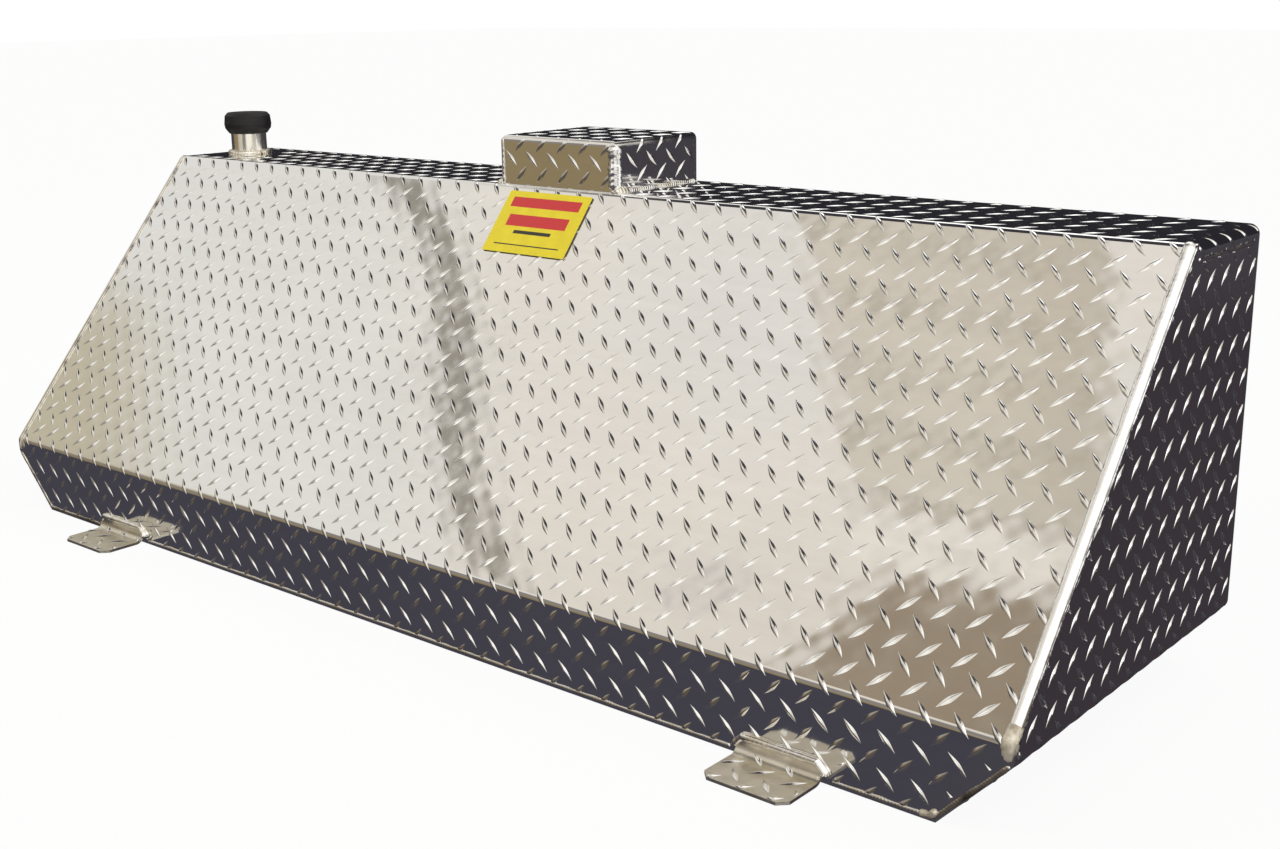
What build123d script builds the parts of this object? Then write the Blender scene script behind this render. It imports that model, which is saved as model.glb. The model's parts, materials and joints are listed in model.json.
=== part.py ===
# Auxiliary fuel tank for a pickup bed, folded and welded from aluminium tread plate.
# Units are millimetres. X runs along the tank, -Y is the sloping front, +Z is up.
# The origin is the centre of the flat underside of the tank body.
import os
from math import atan2, cos, hypot, radians, sin, tan

from build123d import *

# Overall form of the body
tank_length = 1524.0
tank_depth = 457.0
tank_height = 457.0
top_depth = 155.0
nose_height = 90.5
clip_length = 69.0
clip_height = 73.0

# Sheet stock and its folds
sheet = 3.2
bend_inside = 7.0
lip_drop = 16.0
weld_gap = 0.1

# Baffles
baffle_sheet = 2.5
baffle_pitch = 508.0
baffle_gap = 0.2
baffle_hole_radius = 38.0
baffle_hole_pitch = 150.0
baffle_notch = 28.0
baffle_flange = 22.0

# Filler neck and cap
neck_from_end = 58.0
neck_from_back = 75.0
neck_radius = 25.4
neck_wall = 3.2
neck_above = 51.0
neck_below = 30.0
neck_weld_size = 7.0
neck_chamfer = 1.0
cap_radius = 34.0
cap_crown_radius = 28.6
cap_skirt_radius = 27.4
cap_height = 30.0
cap_top_wall = 5.0
cap_bore_gap = 0.6
cap_round = 1.5
seal_plate_height = 1.6
gasket_height = 2.0
gasket_width = 4.5
seat_gap = 0.2

# Guard box over the fittings
guard_x = -9.5
guard_width = 182.0
guard_height = 58.0
guard_bend_inside = 4.5

# Mounting tabs
tab_left_from_end = 247.0
tab_right_from_end = 228.0
tab_width = 93.0
tab_reach = 60.0
tab_height = 17.0
tab_bend_inside = 9.0
tab_corner = 9.0
tab_round = 4.0

# Weld beads
end_bead_width = 12.0
end_bead_rise = 2.6
seam_bead_width = 4.5
seam_bead_rise = 0.9
seam_bead_inset = 5.0
seam_bead_round = 6.0
corner_bead_radius = 6.5
corner_bead_rise = 3.0
guard_foot_bead = 3.0
tab_bead_width = 5.5
tab_bead_rise = 4.6
tab_bead_round = 2.6
tab_bead_foot = 4.0

# Fittings under the guard box, placed from the middle of the box
fittings_from_back = 72.0
sender_offset = -45.0
pickup_offset = 17.0
vent_offset = 58.0

# Threaded bungs, and the hose stubs of the fittings in them
bung_radius = 17.0
bung_height = 10.0
bung_spigot_radius = 14.0
bung_spigot = 8.0
bung_bore = 10.5
bung_chamfer = 1.5
thread_gap = 0.1
hex_width = 27.0
hex_height = 7.0
stub_radius = 4.75
stub_bore = 3.3
stub_reach = 50.0
shoulder_radius = 7.0
shoulder_reach = 15.0

# Fuel pickup
elbow_radius = 9.5
elbow_height = 25.0
elbow_crown = 3.0
dip_tube_radius = 6.35
dip_tube_wall = 1.2
dip_tube_foot_gap = 10.0
dip_tube_socket = 12.0

# Rollover vent valve
valve_radius = 12.5
valve_height = 33.0
valve_crown = 2.0
ball_radius = 6.0
ball_side_gap = 1.0
ball_travel = 4.0
ball_end_gap = 0.3
valve_floor = 2.0
valve_port = 3.0

# Level sender
flange_radius = 33.0
flange_height = 4.0
sender_gasket_height = 2.5
sender_hole_radius = 21.0
screw_circle_radius = 27.0
screw_count = 5
screw_radius = 2.4
screw_gap = 0.2
screw_head_radius = 4.4
screw_head_height = 3.0
screw_head_chamfer = 1.0
screw_below_sheet = 5.0
terminal_radius = 2.5
terminal_collar = 5.0
terminal_height = 10.0
post_radius = 5.0
pivot_height = 228.0
housing_size = 26.0
housing_depth = 14.0
housing_round = 3.0
pivot_pin_radius = 2.5
pivot_pin_gap = 0.05
hub_radius = 5.5
hub_depth = 5.0
hub_side_gap = 0.5
arm_radius = 1.6
arm_reach = 150.0
arm_rest_angle = 55.0
arm_bend = 8.0
float_radius = 17.0
float_length = 46.0
float_chamfer = 3.0

# Label on the slope
label_x = -8.0
label_width = 131.0
label_height = 84.0
label_below_top = 51.4
label_sheet = 2.0
label_round = 2.0

# Places worked out from the sizes above
half_length = tank_length / 2
front_y = -tank_depth / 2
back_y = tank_depth / 2
top_front_y = back_y - top_depth
bend = bend_inside + sheet
slope_angle = atan2(tank_height - nose_height, top_front_y - front_y)
slope_length = hypot(tank_height - nose_height, top_front_y - front_y)
top_bend_tangent = bend * tan(slope_angle / 2)
top_flat_y = top_front_y + top_bend_tangent
clip_angle = atan2(clip_height, clip_length)
past = 60.0
neck_x = neck_from_end - half_length
neck_y = back_y - neck_from_back
rim_z = tank_height + neck_above
seal_plate_z = rim_z + seat_gap + gasket_height
cap_inside_z = seal_plate_z + seal_plate_height + seat_gap
cap_top_z = cap_inside_z + cap_top_wall
guard_bend = guard_bend_inside + sheet
tab_left_x = tab_left_from_end - half_length
tab_right_x = half_length - tab_right_from_end
label_up_slope = slope_length - label_below_top
fittings_y = back_y - fittings_from_back
sender_x = guard_x + sender_offset
pickup_x = guard_x + pickup_offset
vent_x = guard_x + vent_offset
bung_top_z = tank_height + bung_height
flange_z = tank_height + sender_gasket_height
hub_y = fittings_y - housing_depth / 2 - hub_side_gap - hub_depth / 2

across = Plane.YZ
along = Plane.XZ
slope = Plane(origin=(0, front_y, nose_height), x_dir=(1, 0, 0), z_dir=(0, -sin(slope_angle), cos(slope_angle)))


def write(part, name):
    """Name one finished piece and save it."""
    part.label = name
    export_step(part, f"parts/{name}.step")


def inset_corner(point, angle_in, angle_out, inset):
    """Move the corner of an outline inwards, where the inside lies to the right of the way round."""
    first = Vector(sin(angle_in), -cos(angle_in))
    second = Vector(sin(angle_out), -cos(angle_out))
    return Vector(*point) + (first + second) * (inset / (1 + first.dot(second)))


os.makedirs("parts", exist_ok=True)

# Side profile of the body: kick, slope, top, back and bottom, with bends at nose, top and heel
with BuildSketch(across) as side_profile:
    with BuildLine():
        Polyline(
            (front_y, 0),
            (front_y, nose_height),
            (top_front_y, tank_height),
            (back_y, tank_height),
            (back_y, 0),
            close=True,
        )
    make_face()
    corners = side_profile.vertices().sort_by(Axis.X)
    nose = corners.filter_by_position(Axis.Y, nose_height - 1, nose_height + 1)
    top_front = corners.filter_by_position(Axis.X, top_front_y - 1, top_front_y + 1)
    heel = corners.group_by(Axis.X)[-1].sort_by(Axis.Y)[0]
    fillet([*nose, *top_front, heel], radius=bend)

with BuildSketch(across) as side_inside:
    offset(side_profile.sketch_local, amount=-sheet, kind=Kind.INTERSECTION)

# The part of the sheet ring that belongs to the bottom and the back
with BuildSketch(across) as heel_zone:
    with Locations((0, sheet / 2)):
        Rectangle(tank_depth, sheet)
    with Locations((back_y - sheet / 2, (tank_height - sheet) / 2)):
        Rectangle(sheet, tank_height - sheet)
    with Locations((back_y - bend / 2, bend / 2)):
        Rectangle(bend, bend)

# End outline of the body: upright ends with clipped lower corners, run past the top and the bottom
with BuildSketch(along) as end_outline:
    clip_run = past / tan(clip_angle)
    with BuildLine():
        Polyline(
            (-half_length, tank_height + past),
            (-half_length, clip_height),
            (-half_length + clip_length + clip_run, -past),
            (half_length - clip_length - clip_run, -past),
            (half_length, clip_height),
            (half_length, tank_height + past),
            close=True,
        )
    make_face()
    knees = end_outline.vertices().filter_by_position(Axis.Y, clip_height - 1, clip_height + 1)
    fillet(knees, radius=bend)

with BuildSketch(along) as end_inside:
    offset(end_outline.sketch_local, amount=-sheet, kind=Kind.INTERSECTION)

# The body as one block, which seats the weld beads
with BuildPart() as body_block:
    extrude(side_profile.sketch, amount=half_length, both=True)
    extrude(end_outline.sketch, amount=tank_depth, both=True, mode=Mode.INTERSECT)

# The space between the two end plates, which trims the sheets that run between them
with BuildPart() as between_ends:
    extrude(end_inside.sketch, amount=tank_depth, both=True)

# Wrap sheet: kick, slope and top in one folded sheet, with lips folded down over the ends of the top
with BuildSketch(across) as wrap_section:
    add(side_profile.sketch_local)
    add(side_inside.sketch_local, mode=Mode.SUBTRACT)
    add(heel_zone.sketch_local, mode=Mode.SUBTRACT)

with BuildSketch(along.offset(-back_y)) as lip_section:
    bend_centre = (half_length - bend, tank_height - bend)
    with BuildLine():
        outer_bend = CenterArc(bend_centre, bend, 0, 90)
        inner_bend = CenterArc(bend_centre, bend_inside, 0, 90)
        Line(outer_bend @ 1, inner_bend @ 1)
        Polyline(
            inner_bend @ 0,
            (half_length - sheet, tank_height - lip_drop),
            (half_length, tank_height - lip_drop),
            outer_bend @ 0,
        )
    make_face()

with BuildPart() as wrap_sheet:
    extrude(wrap_section.sketch, amount=half_length, both=True)
    add(between_ends.part, mode=Mode.INTERSECT)
    with Locations(
        (half_length - bend / 2, (top_flat_y + back_y) / 2, tank_height - bend / 2),
        (-half_length + bend / 2, (top_flat_y + back_y) / 2, tank_height - bend / 2),
    ):
        Box(bend, back_y - top_flat_y, bend, mode=Mode.SUBTRACT)
    lip = extrude(lip_section.sketch, amount=back_y - top_flat_y)
    mirror(lip, about=Plane.YZ)
    with Locations((neck_x, neck_y, tank_height)):
        Hole(neck_radius + weld_gap, depth=bend)
    with Locations((pickup_x, fittings_y, tank_height), (vent_x, fittings_y, tank_height)):
        Hole(bung_spigot_radius + weld_gap, depth=bend)
    with Locations((sender_x, fittings_y, tank_height)):
        Hole(sender_hole_radius, depth=bend)
        with PolarLocations(screw_circle_radius, screw_count):
            Hole(screw_radius + screw_gap, depth=bend)
write(wrap_sheet.part, "wrap_sheet")

# Back sheet: the bottom and the back, folded along the heel, with its top corners inside the lips
with BuildSketch(across) as back_section:
    add(side_profile.sketch_local)
    add(side_inside.sketch_local, mode=Mode.SUBTRACT)
    add(heel_zone.sketch_local, mode=Mode.INTERSECT)

with BuildPart() as back_sheet:
    extrude(back_section.sketch, amount=half_length, both=True)
    add(between_ends.part, mode=Mode.INTERSECT)
    add(wrap_sheet.part, mode=Mode.SUBTRACT)
write(back_sheet.part, "back_sheet")

# End plates: each folded inwards along the clipped lower corner
with BuildSketch(along) as end_section:
    add(end_outline.sketch_local)
    add(end_inside.sketch_local, mode=Mode.SUBTRACT)
    with Locations((half_length, tank_height / 2)):
        Rectangle(tank_length, tank_height + past, mode=Mode.INTERSECT)

with BuildPart() as end_plate_right:
    extrude(end_section.sketch, amount=tank_depth, both=True)
    extrude(side_profile.sketch, amount=tank_length, both=True, mode=Mode.INTERSECT)
    with Locations((half_length, (top_flat_y + back_y) / 2, tank_height - lip_drop / 2)):
        Box(2 * bend, back_y - top_flat_y, lip_drop, mode=Mode.SUBTRACT)
write(end_plate_right.part, "end_plate_right")

with BuildPart() as end_plate_left:
    mirror(end_plate_right.part, about=Plane.YZ)
write(end_plate_left.part, "end_plate_left")


def baffle(x, outwards):
    """One cross plate that stops the fuel surging, with a flange folded against the back sheet."""
    with BuildPart() as plate:
        with BuildSketch(across.offset(x - baffle_sheet / 2)) as web:
            offset(side_inside.sketch_local, amount=-baffle_gap, kind=Kind.INTERSECTION)
            middle = (back_y - 1.5 * baffle_hole_pitch / 2 - baffle_flange, tank_height / 2)
            with Locations(middle):
                with GridLocations(baffle_hole_pitch, baffle_hole_pitch, 2, 2):
                    Circle(baffle_hole_radius, mode=Mode.SUBTRACT)
            with Locations((front_y + sheet, sheet), (back_y - sheet, sheet)):
                Rectangle(2 * baffle_notch, 2 * baffle_notch, mode=Mode.SUBTRACT)
        extrude(amount=baffle_sheet)
        flange_y = back_y - sheet - baffle_gap - baffle_sheet / 2
        flange_foot = sheet + 2 * baffle_notch
        flange_head = tank_height - sheet - baffle_notch
        with Locations((x + outwards * (baffle_flange - baffle_sheet) / 2, flange_y, (flange_foot + flange_head) / 2)):
            Box(baffle_flange, baffle_sheet, flange_head - flange_foot)
    return plate.part


write(baffle(-baffle_pitch / 2, -1), "baffle_left")
write(baffle(baffle_pitch / 2, 1), "baffle_right")

# Filler neck, a tube through the top near the left end
with BuildPart() as filler_neck:
    with BuildSketch(Plane.XY.offset(tank_height - neck_below)):
        with Locations((neck_x, neck_y)):
            Circle(neck_radius)
            Circle(neck_radius - neck_wall, mode=Mode.SUBTRACT)
    extrude(amount=neck_below + neck_above)
    chamfer(filler_neck.faces().sort_by(Axis.Z)[-1].edges(), length=neck_chamfer)
write(filler_neck.part, "filler_neck")

neck_axis = Axis((neck_x, neck_y, 0), (0, 0, 1))
neck_plane = Plane(origin=(neck_x, neck_y, 0), x_dir=(1, 0, 0), z_dir=(0, -1, 0))

# Weld ring where the neck leaves the top
with BuildPart() as neck_weld:
    with BuildSketch(neck_plane):
        ring = neck_radius + weld_gap
        with BuildLine():
            Polyline((ring + neck_weld_size, tank_height), (ring, tank_height), (ring, tank_height + neck_weld_size))
            SagittaArc(
                (ring, tank_height + neck_weld_size),
                (ring + neck_weld_size, tank_height),
                -neck_weld_size / 8,
            )
        make_face()
    revolve(axis=neck_axis)
write(neck_weld.part, "neck_weld")

# Sealing ring and plate that stay still against the neck while the cap turns over them
with BuildPart() as cap_gasket:
    with BuildSketch(Plane.XY.offset(rim_z + seat_gap)):
        with Locations((neck_x, neck_y)):
            Circle(neck_radius)
            Circle(neck_radius - gasket_width, mode=Mode.SUBTRACT)
    extrude(amount=gasket_height)
write(cap_gasket.part, "cap_gasket")

with BuildPart() as cap_seal_plate:
    with BuildSketch(Plane.XY.offset(seal_plate_z)):
        with Locations((neck_x, neck_y)):
            Circle(neck_radius)
    extrude(amount=seal_plate_height)
write(cap_seal_plate.part, "cap_seal_plate")

# Screw cap: bevelled crown, widest at mid height, and drawn in to the neck at its foot
with BuildPart() as filler_cap:
    with BuildSketch(neck_plane):
        with BuildLine():
            Polyline(
                (0, cap_top_z),
                (cap_crown_radius, cap_top_z),
                (cap_radius - 0.25 * (cap_radius - cap_crown_radius), cap_top_z - 0.15 * cap_height),
                (cap_radius, cap_top_z - 0.55 * cap_height),
                (cap_radius - 0.15 * (cap_radius - cap_skirt_radius), cap_top_z - 0.75 * cap_height),
                (cap_radius - 0.65 * (cap_radius - cap_skirt_radius), cap_top_z - 0.9 * cap_height),
                (cap_skirt_radius, cap_top_z - cap_height),
                (neck_radius + cap_bore_gap, cap_top_z - cap_height),
                (neck_radius + cap_bore_gap, cap_inside_z),
                (0, cap_inside_z),
                close=True,
            )
        make_face()
    revolve(axis=neck_axis)
    crown = filler_cap.edges().filter_by(GeomType.CIRCLE).group_by(Axis.Z)[-1]
    fillet(crown, radius=cap_round)
write(filler_cap.part, "filler_cap")

# Guard box: an inverted pan, folded on three sides and open at the back for the hoses
guard_mid_y = (top_flat_y + back_y) / 2
with BuildPart() as guard_block:
    with Locations((guard_x, guard_mid_y, tank_height + guard_height / 2)):
        Box(guard_width, back_y - top_flat_y, guard_height)
    rim = guard_block.faces().sort_by(Axis.Z)[-1].edges().sort_by(Axis.Y)[:-1]
    fillet(rim, radius=guard_bend)

with BuildPart() as guard_space:
    with Locations((guard_x, guard_mid_y + sheet, tank_height + (guard_height - sheet) / 2)):
        Box(guard_width - 2 * sheet, back_y - top_flat_y, guard_height - sheet)
    rim = guard_space.faces().sort_by(Axis.Z)[-1].edges().sort_by(Axis.Y)[:-1]
    fillet(rim, radius=guard_bend_inside)

with BuildPart() as guard_box:
    add(guard_block.part)
    add(guard_space.part, mode=Mode.SUBTRACT)
write(guard_box.part, "guard_box")


def guard_weld(side):
    """The bead up one front corner of the guard box and back along its foot."""
    corner_x = guard_x + side * guard_width / 2
    set_in = corner_bead_radius - corner_bead_rise
    with BuildPart() as bead:
        with BuildSketch(Plane.XY.offset(tank_height)):
            with Locations((corner_x - side * set_in, top_flat_y + set_in)):
                Circle(corner_bead_radius)
        extrude(amount=guard_height - guard_bend / 2)
        with BuildSketch(along.offset(-top_flat_y)):
            with Locations((corner_x, tank_height)):
                Circle(guard_foot_bead)
        extrude(amount=top_flat_y - back_y)
        add(guard_block.part, mode=Mode.SUBTRACT)
        add(body_block.part, mode=Mode.SUBTRACT)
    return bead.part


write(guard_weld(-1), "guard_weld_left")
write(guard_weld(1), "guard_weld_right")


def bead(path, outwards, width, rise):
    """A weld bead of rounded section, laid with its flat side on the sheet along a path."""
    wire = path.wire()
    heading = wire % 0
    with BuildPart() as laid:
        with BuildSketch(Plane(origin=wire @ 0, x_dir=outwards.cross(heading), z_dir=heading)):
            with BuildLine():
                Line((-width / 2, 0), (width / 2, 0))
                SagittaArc((width / 2, 0), (-width / 2, 0), -rise)
            make_face()
        sweep(path=wire)
    return laid.part


# Beads up the two edges of the slope, from the clipped corner round the nose to the top fold
with BuildLine(across.offset(half_length - end_bead_width / 2)) as slope_edge:
    upper = slope_length - top_bend_tangent
    FilletPolyline(
        (front_y, clip_height + seam_bead_inset),
        (front_y, nose_height),
        (front_y + upper * cos(slope_angle), nose_height + upper * sin(slope_angle)),
        radius=bend,
    )

with BuildPart() as end_weld_right:
    add(bead(slope_edge, Vector(0, -1, 0), end_bead_width, end_bead_rise))
write(end_weld_right.part, "end_weld_right")

with BuildPart() as end_weld_left:
    mirror(end_weld_right.part, about=Plane.YZ)
write(end_weld_left.part, "end_weld_left")

# Flat seams where the folded lips of the top meet the end plates
with BuildLine(Plane.YZ.offset(half_length)) as lip_edge:
    seam_z = tank_height - lip_drop
    Line((top_flat_y + seam_bead_inset, seam_z), (back_y - 2 * seam_bead_inset, seam_z))

with BuildPart() as lip_weld_right:
    add(bead(lip_edge, Vector(1, 0, 0), seam_bead_width, seam_bead_rise))
write(lip_weld_right.part, "lip_weld_right")

with BuildPart() as lip_weld_left:
    mirror(lip_weld_right.part, about=Plane.YZ)
write(lip_weld_left.part, "lip_weld_left")

# Corners of the seams on the kick and on the back, set in from the edges of the body
down, leftwards, rightwards, upwards = radians(-90), radians(180), 0.0, radians(90)
down_clip = clip_angle - radians(180)
knee_in = inset_corner((half_length, clip_height), down, down_clip, seam_bead_inset)
foot_in = inset_corner((half_length - clip_length, 0), down_clip, leftwards, seam_bead_inset)
shoulder_in = inset_corner((half_length, tank_height), rightwards, down, seam_bead_inset)

# Bead along the foot of the kick and up its clipped ends, broken where the tabs stand
with BuildLine(along.offset(-front_y)) as kick_edge:
    FilletPolyline(
        (knee_in.X, knee_in.Y),
        (foot_in.X, foot_in.Y),
        (-foot_in.X, foot_in.Y),
        (-knee_in.X, knee_in.Y),
        radius=seam_bead_round,
    )

with BuildPart() as kick_weld:
    add(bead(kick_edge, Vector(0, -1, 0), seam_bead_width, seam_bead_rise))
    with Locations((tab_left_x, front_y, 0), (tab_right_x, front_y, 0)):
        Box(tab_width + 2 * tab_bead_width, tab_reach, tab_height, mode=Mode.SUBTRACT)
write(kick_weld.part, "kick_weld")

# Bead round the back, over the top and down both ends to the heel
with BuildLine(along.offset(-back_y)) as back_edge:
    FilletPolyline(
        (foot_in.X + bend, foot_in.Y + bend * tan(clip_angle)),
        (knee_in.X, knee_in.Y),
        (shoulder_in.X, shoulder_in.Y),
        (-shoulder_in.X, shoulder_in.Y),
        (-knee_in.X, knee_in.Y),
        (-foot_in.X - bend, foot_in.Y + bend * tan(clip_angle)),
        radius=seam_bead_round,
    )

with BuildPart() as back_weld:
    add(bead(back_edge, Vector(0, 1, 0), seam_bead_width, seam_bead_rise))
write(back_weld.part, "back_weld")


def mounting_tab(x):
    """A folded foot: the flat part lies level with the underside, the upright against the kick."""
    tab_bend = tab_bend_inside + sheet
    centre = (front_y - tab_bend, tab_bend)
    toe_y = front_y - tab_reach
    with BuildPart() as tab:
        with BuildSketch(across.offset(x - tab_width / 2)):
            with BuildLine():
                outer_heel = CenterArc(centre, tab_bend, -90, 90)
                inner_heel = CenterArc(centre, tab_bend_inside, -90, 90)
                Polyline(outer_heel @ 1, (front_y, tab_height), (front_y - sheet, tab_height), inner_heel @ 1)
                Polyline(inner_heel @ 0, (toe_y, sheet), (toe_y, 0), outer_heel @ 0)
            make_face()
        extrude(amount=tab_width)
        toe = tab.edges().filter_by(Axis.Z).group_by(Axis.Y)[0]
        chamfer(toe, length=tab_corner)
        ears = tab.edges().filter_by(Axis.Y).group_by(Axis.Z)[-1]
        fillet(ears, radius=tab_round)
    return tab.part


def tab_weld(x):
    """The fat bead round the upright of a tab: up one side, along the top and down the other."""
    with BuildPart() as band:
        with BuildSketch(along.offset(-front_y)):
            with Locations((x, tab_height / 2)):
                RectangleRounded(
                    tab_width + 2 * tab_bead_width,
                    tab_height + 2 * tab_bead_width,
                    tab_round + tab_bead_width,
                )
            with Locations((x, 0)):
                RectangleRounded(tab_width, 2 * tab_height, tab_round - weld_gap, mode=Mode.SUBTRACT)
            with Locations((x, tab_bead_foot - tank_height / 2)):
                Rectangle(tank_length, tank_height, mode=Mode.SUBTRACT)
        extrude(amount=tab_bead_rise)
        face = band.faces().sort_by(Axis.Y)[0]
        outline = face.outer_wire().edges().filter_by(lambda edge: edge.center().Z > tab_bead_foot + weld_gap)
        fillet(outline, radius=tab_bead_round)
    return band.part


for x, name in ((tab_left_x, "left"), (tab_right_x, "right")):
    write(mounting_tab(x), f"mounting_tab_{name}")
    write(tab_weld(x), f"tab_weld_{name}")


def bung(x):
    """A threaded bung welded into the top, with a spigot down through the sheet."""
    with BuildPart() as turned:
        with BuildSketch(Plane.XY.offset(tank_height)):
            with Locations((x, fittings_y)):
                Circle(bung_radius)
        extrude(amount=bung_height)
        chamfer(turned.faces().sort_by(Axis.Z)[-1].edges(), length=bung_chamfer)
        with BuildSketch(Plane.XY.offset(tank_height)):
            with Locations((x, fittings_y)):
                Circle(bung_spigot_radius)
        extrude(amount=-bung_spigot)
        with Locations((x, fittings_y, bung_top_z)):
            Hole(bung_bore)
    return turned.part


write(bung(pickup_x), "pickup_bung")
write(bung(vent_x), "vent_bung")


def hose_stub(x, z):
    """A plain stub with a shoulder, which points out of the open back of the guard box."""
    with BuildPart() as stub:
        with BuildSketch(along.offset(-fittings_y)):
            with Locations((x, z)):
                Circle(shoulder_radius)
        extrude(amount=-shoulder_reach)
        with BuildSketch(along.offset(-fittings_y)):
            with Locations((x, z)):
                Circle(stub_radius)
        extrude(amount=-stub_reach)
    return stub.part


def threaded_shank(x):
    """The shank that fills a bung, and the hexagon above it."""
    with BuildPart() as shank:
        with BuildSketch(Plane.XY.offset(tank_height - bung_spigot)):
            with Locations((x, fittings_y)):
                Circle(bung_bore - thread_gap)
        extrude(amount=bung_spigot + bung_height)
        with BuildSketch(Plane.XY.offset(bung_top_z)):
            with Locations((x, fittings_y)):
                RegularPolygon(hex_width / 2, 6, major_radius=False)
        extrude(amount=hex_height)
    return shank.part


# Pickup elbow: threaded into its bung, socketed for the dip tube, with a hose stub to the back
stub_z = bung_top_z + hex_height + elbow_radius
with BuildPart() as pickup_elbow:
    add(threaded_shank(pickup_x))
    with BuildSketch(Plane.XY.offset(bung_top_z + hex_height)):
        with Locations((pickup_x, fittings_y)):
            Circle(elbow_radius)
    extrude(amount=elbow_height - hex_height + elbow_crown)
    fillet(pickup_elbow.faces().sort_by(Axis.Z)[-1].edges(), radius=elbow_crown)
    add(hose_stub(pickup_x, stub_z))
    with BuildSketch(along.offset(-fittings_y)):
        with Locations((pickup_x, stub_z)):
            Circle(stub_bore)
    extrude(amount=-stub_reach, mode=Mode.SUBTRACT)
    with BuildSketch(Plane.XY.offset(tank_height - bung_spigot)):
        with Locations((pickup_x, fittings_y)):
            Circle(stub_bore)
    extrude(amount=stub_z - tank_height + bung_spigot, mode=Mode.SUBTRACT)
    with BuildSketch(Plane.XY.offset(tank_height - bung_spigot)):
        with Locations((pickup_x, fittings_y)):
            Circle(dip_tube_radius + thread_gap)
    extrude(amount=dip_tube_socket, mode=Mode.SUBTRACT)
write(pickup_elbow.part, "pickup_elbow")

# Dip tube: from the socket down to just above the bottom, cut off at 45 degrees
dip_foot_z = sheet + dip_tube_foot_gap
with BuildPart() as dip_tube:
    with BuildSketch(Plane.XY.offset(dip_foot_z)):
        with Locations((pickup_x, fittings_y)):
            Circle(dip_tube_radius)
            Circle(dip_tube_radius - dip_tube_wall, mode=Mode.SUBTRACT)
    extrude(amount=tank_height - bung_spigot + dip_tube_socket - dip_foot_z)
    cut = Plane(origin=(pickup_x, fittings_y, dip_foot_z + dip_tube_radius), z_dir=(0, -1, 1))
    split(bisect_by=cut, keep=Keep.TOP)
write(dip_tube.part, "dip_tube")

# Rollover vent valve: a caged ball under a seat, and a hose stub above it
cage_z = bung_top_z + valve_floor
cage_height = 2 * ball_radius + ball_travel + 2 * ball_end_gap
valve_top_z = bung_top_z + valve_height
vent_stub_z = cage_z + cage_height + 1.5 * stub_radius
with BuildPart() as vent_valve:
    add(threaded_shank(vent_x))
    with BuildSketch(Plane.XY.offset(bung_top_z + hex_height)):
        with Locations((vent_x, fittings_y)):
            Circle(valve_radius)
    extrude(amount=valve_height - hex_height)
    fillet(vent_valve.faces().sort_by(Axis.Z)[-1].edges(), radius=valve_crown)
    add(hose_stub(vent_x, vent_stub_z))
    with BuildSketch(Plane.XY.offset(tank_height - bung_spigot)):
        with Locations((vent_x, fittings_y)):
            Circle(valve_port)
    extrude(amount=vent_stub_z - tank_height + bung_spigot, mode=Mode.SUBTRACT)
    with BuildSketch(Plane.XY.offset(cage_z)):
        with Locations((vent_x, fittings_y)):
            Circle(ball_radius + ball_side_gap)
    extrude(amount=cage_height, mode=Mode.SUBTRACT)
    with BuildSketch(along.offset(-fittings_y)):
        with Locations((vent_x, vent_stub_z)):
            Circle(valve_port)
    extrude(amount=-stub_reach, mode=Mode.SUBTRACT)
write(vent_valve.part, "vent_valve")

with BuildPart() as vent_ball:
    with Locations((vent_x, fittings_y, cage_z + ball_end_gap + ball_radius)):
        Sphere(ball_radius)
write(vent_ball.part, "vent_ball")

# Level sender: gasket, flange with two terminals, screws, and a post down to the pivot housing
with BuildPart() as sender_gasket:
    with BuildSketch(Plane.XY.offset(tank_height)):
        with Locations((sender_x, fittings_y)):
            Circle(flange_radius)
            Circle(sender_hole_radius, mode=Mode.SUBTRACT)
            with PolarLocations(screw_circle_radius, screw_count):
                Circle(screw_radius + screw_gap, mode=Mode.SUBTRACT)
    extrude(amount=sender_gasket_height)
write(sender_gasket.part, "sender_gasket")

with BuildPart() as sender_flange:
    with BuildSketch(Plane.XY.offset(flange_z)):
        with Locations((sender_x, fittings_y)):
            Circle(flange_radius)
            with PolarLocations(screw_circle_radius, screw_count):
                Circle(screw_radius + screw_gap, mode=Mode.SUBTRACT)
    extrude(amount=flange_height)
    for height, radius in ((terminal_collar, 2 * terminal_radius), (terminal_height, terminal_radius)):
        with BuildSketch(Plane.XY.offset(flange_z + flange_height)):
            with Locations((sender_x, fittings_y)):
                with GridLocations(flange_radius / 2, 0, 2, 1):
                    Circle(radius)
        extrude(amount=height)
write(sender_flange.part, "sender_flange")

with BuildPart() as sender_screws:
    with BuildSketch(Plane.XY.offset(tank_height - sheet - screw_below_sheet)):
        with Locations((sender_x, fittings_y)):
            with PolarLocations(screw_circle_radius, screw_count):
                Circle(screw_radius)
    extrude(amount=flange_z + flange_height - tank_height + sheet + screw_below_sheet)
    with BuildSketch(Plane.XY.offset(flange_z + flange_height)):
        with Locations((sender_x, fittings_y)):
            with PolarLocations(screw_circle_radius, screw_count):
                Circle(screw_head_radius)
    extrude(amount=screw_head_height)
    chamfer(sender_screws.faces().group_by(Axis.Z)[-1].edges(), length=screw_head_chamfer)
write(sender_screws.part, "sender_screws")

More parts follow.
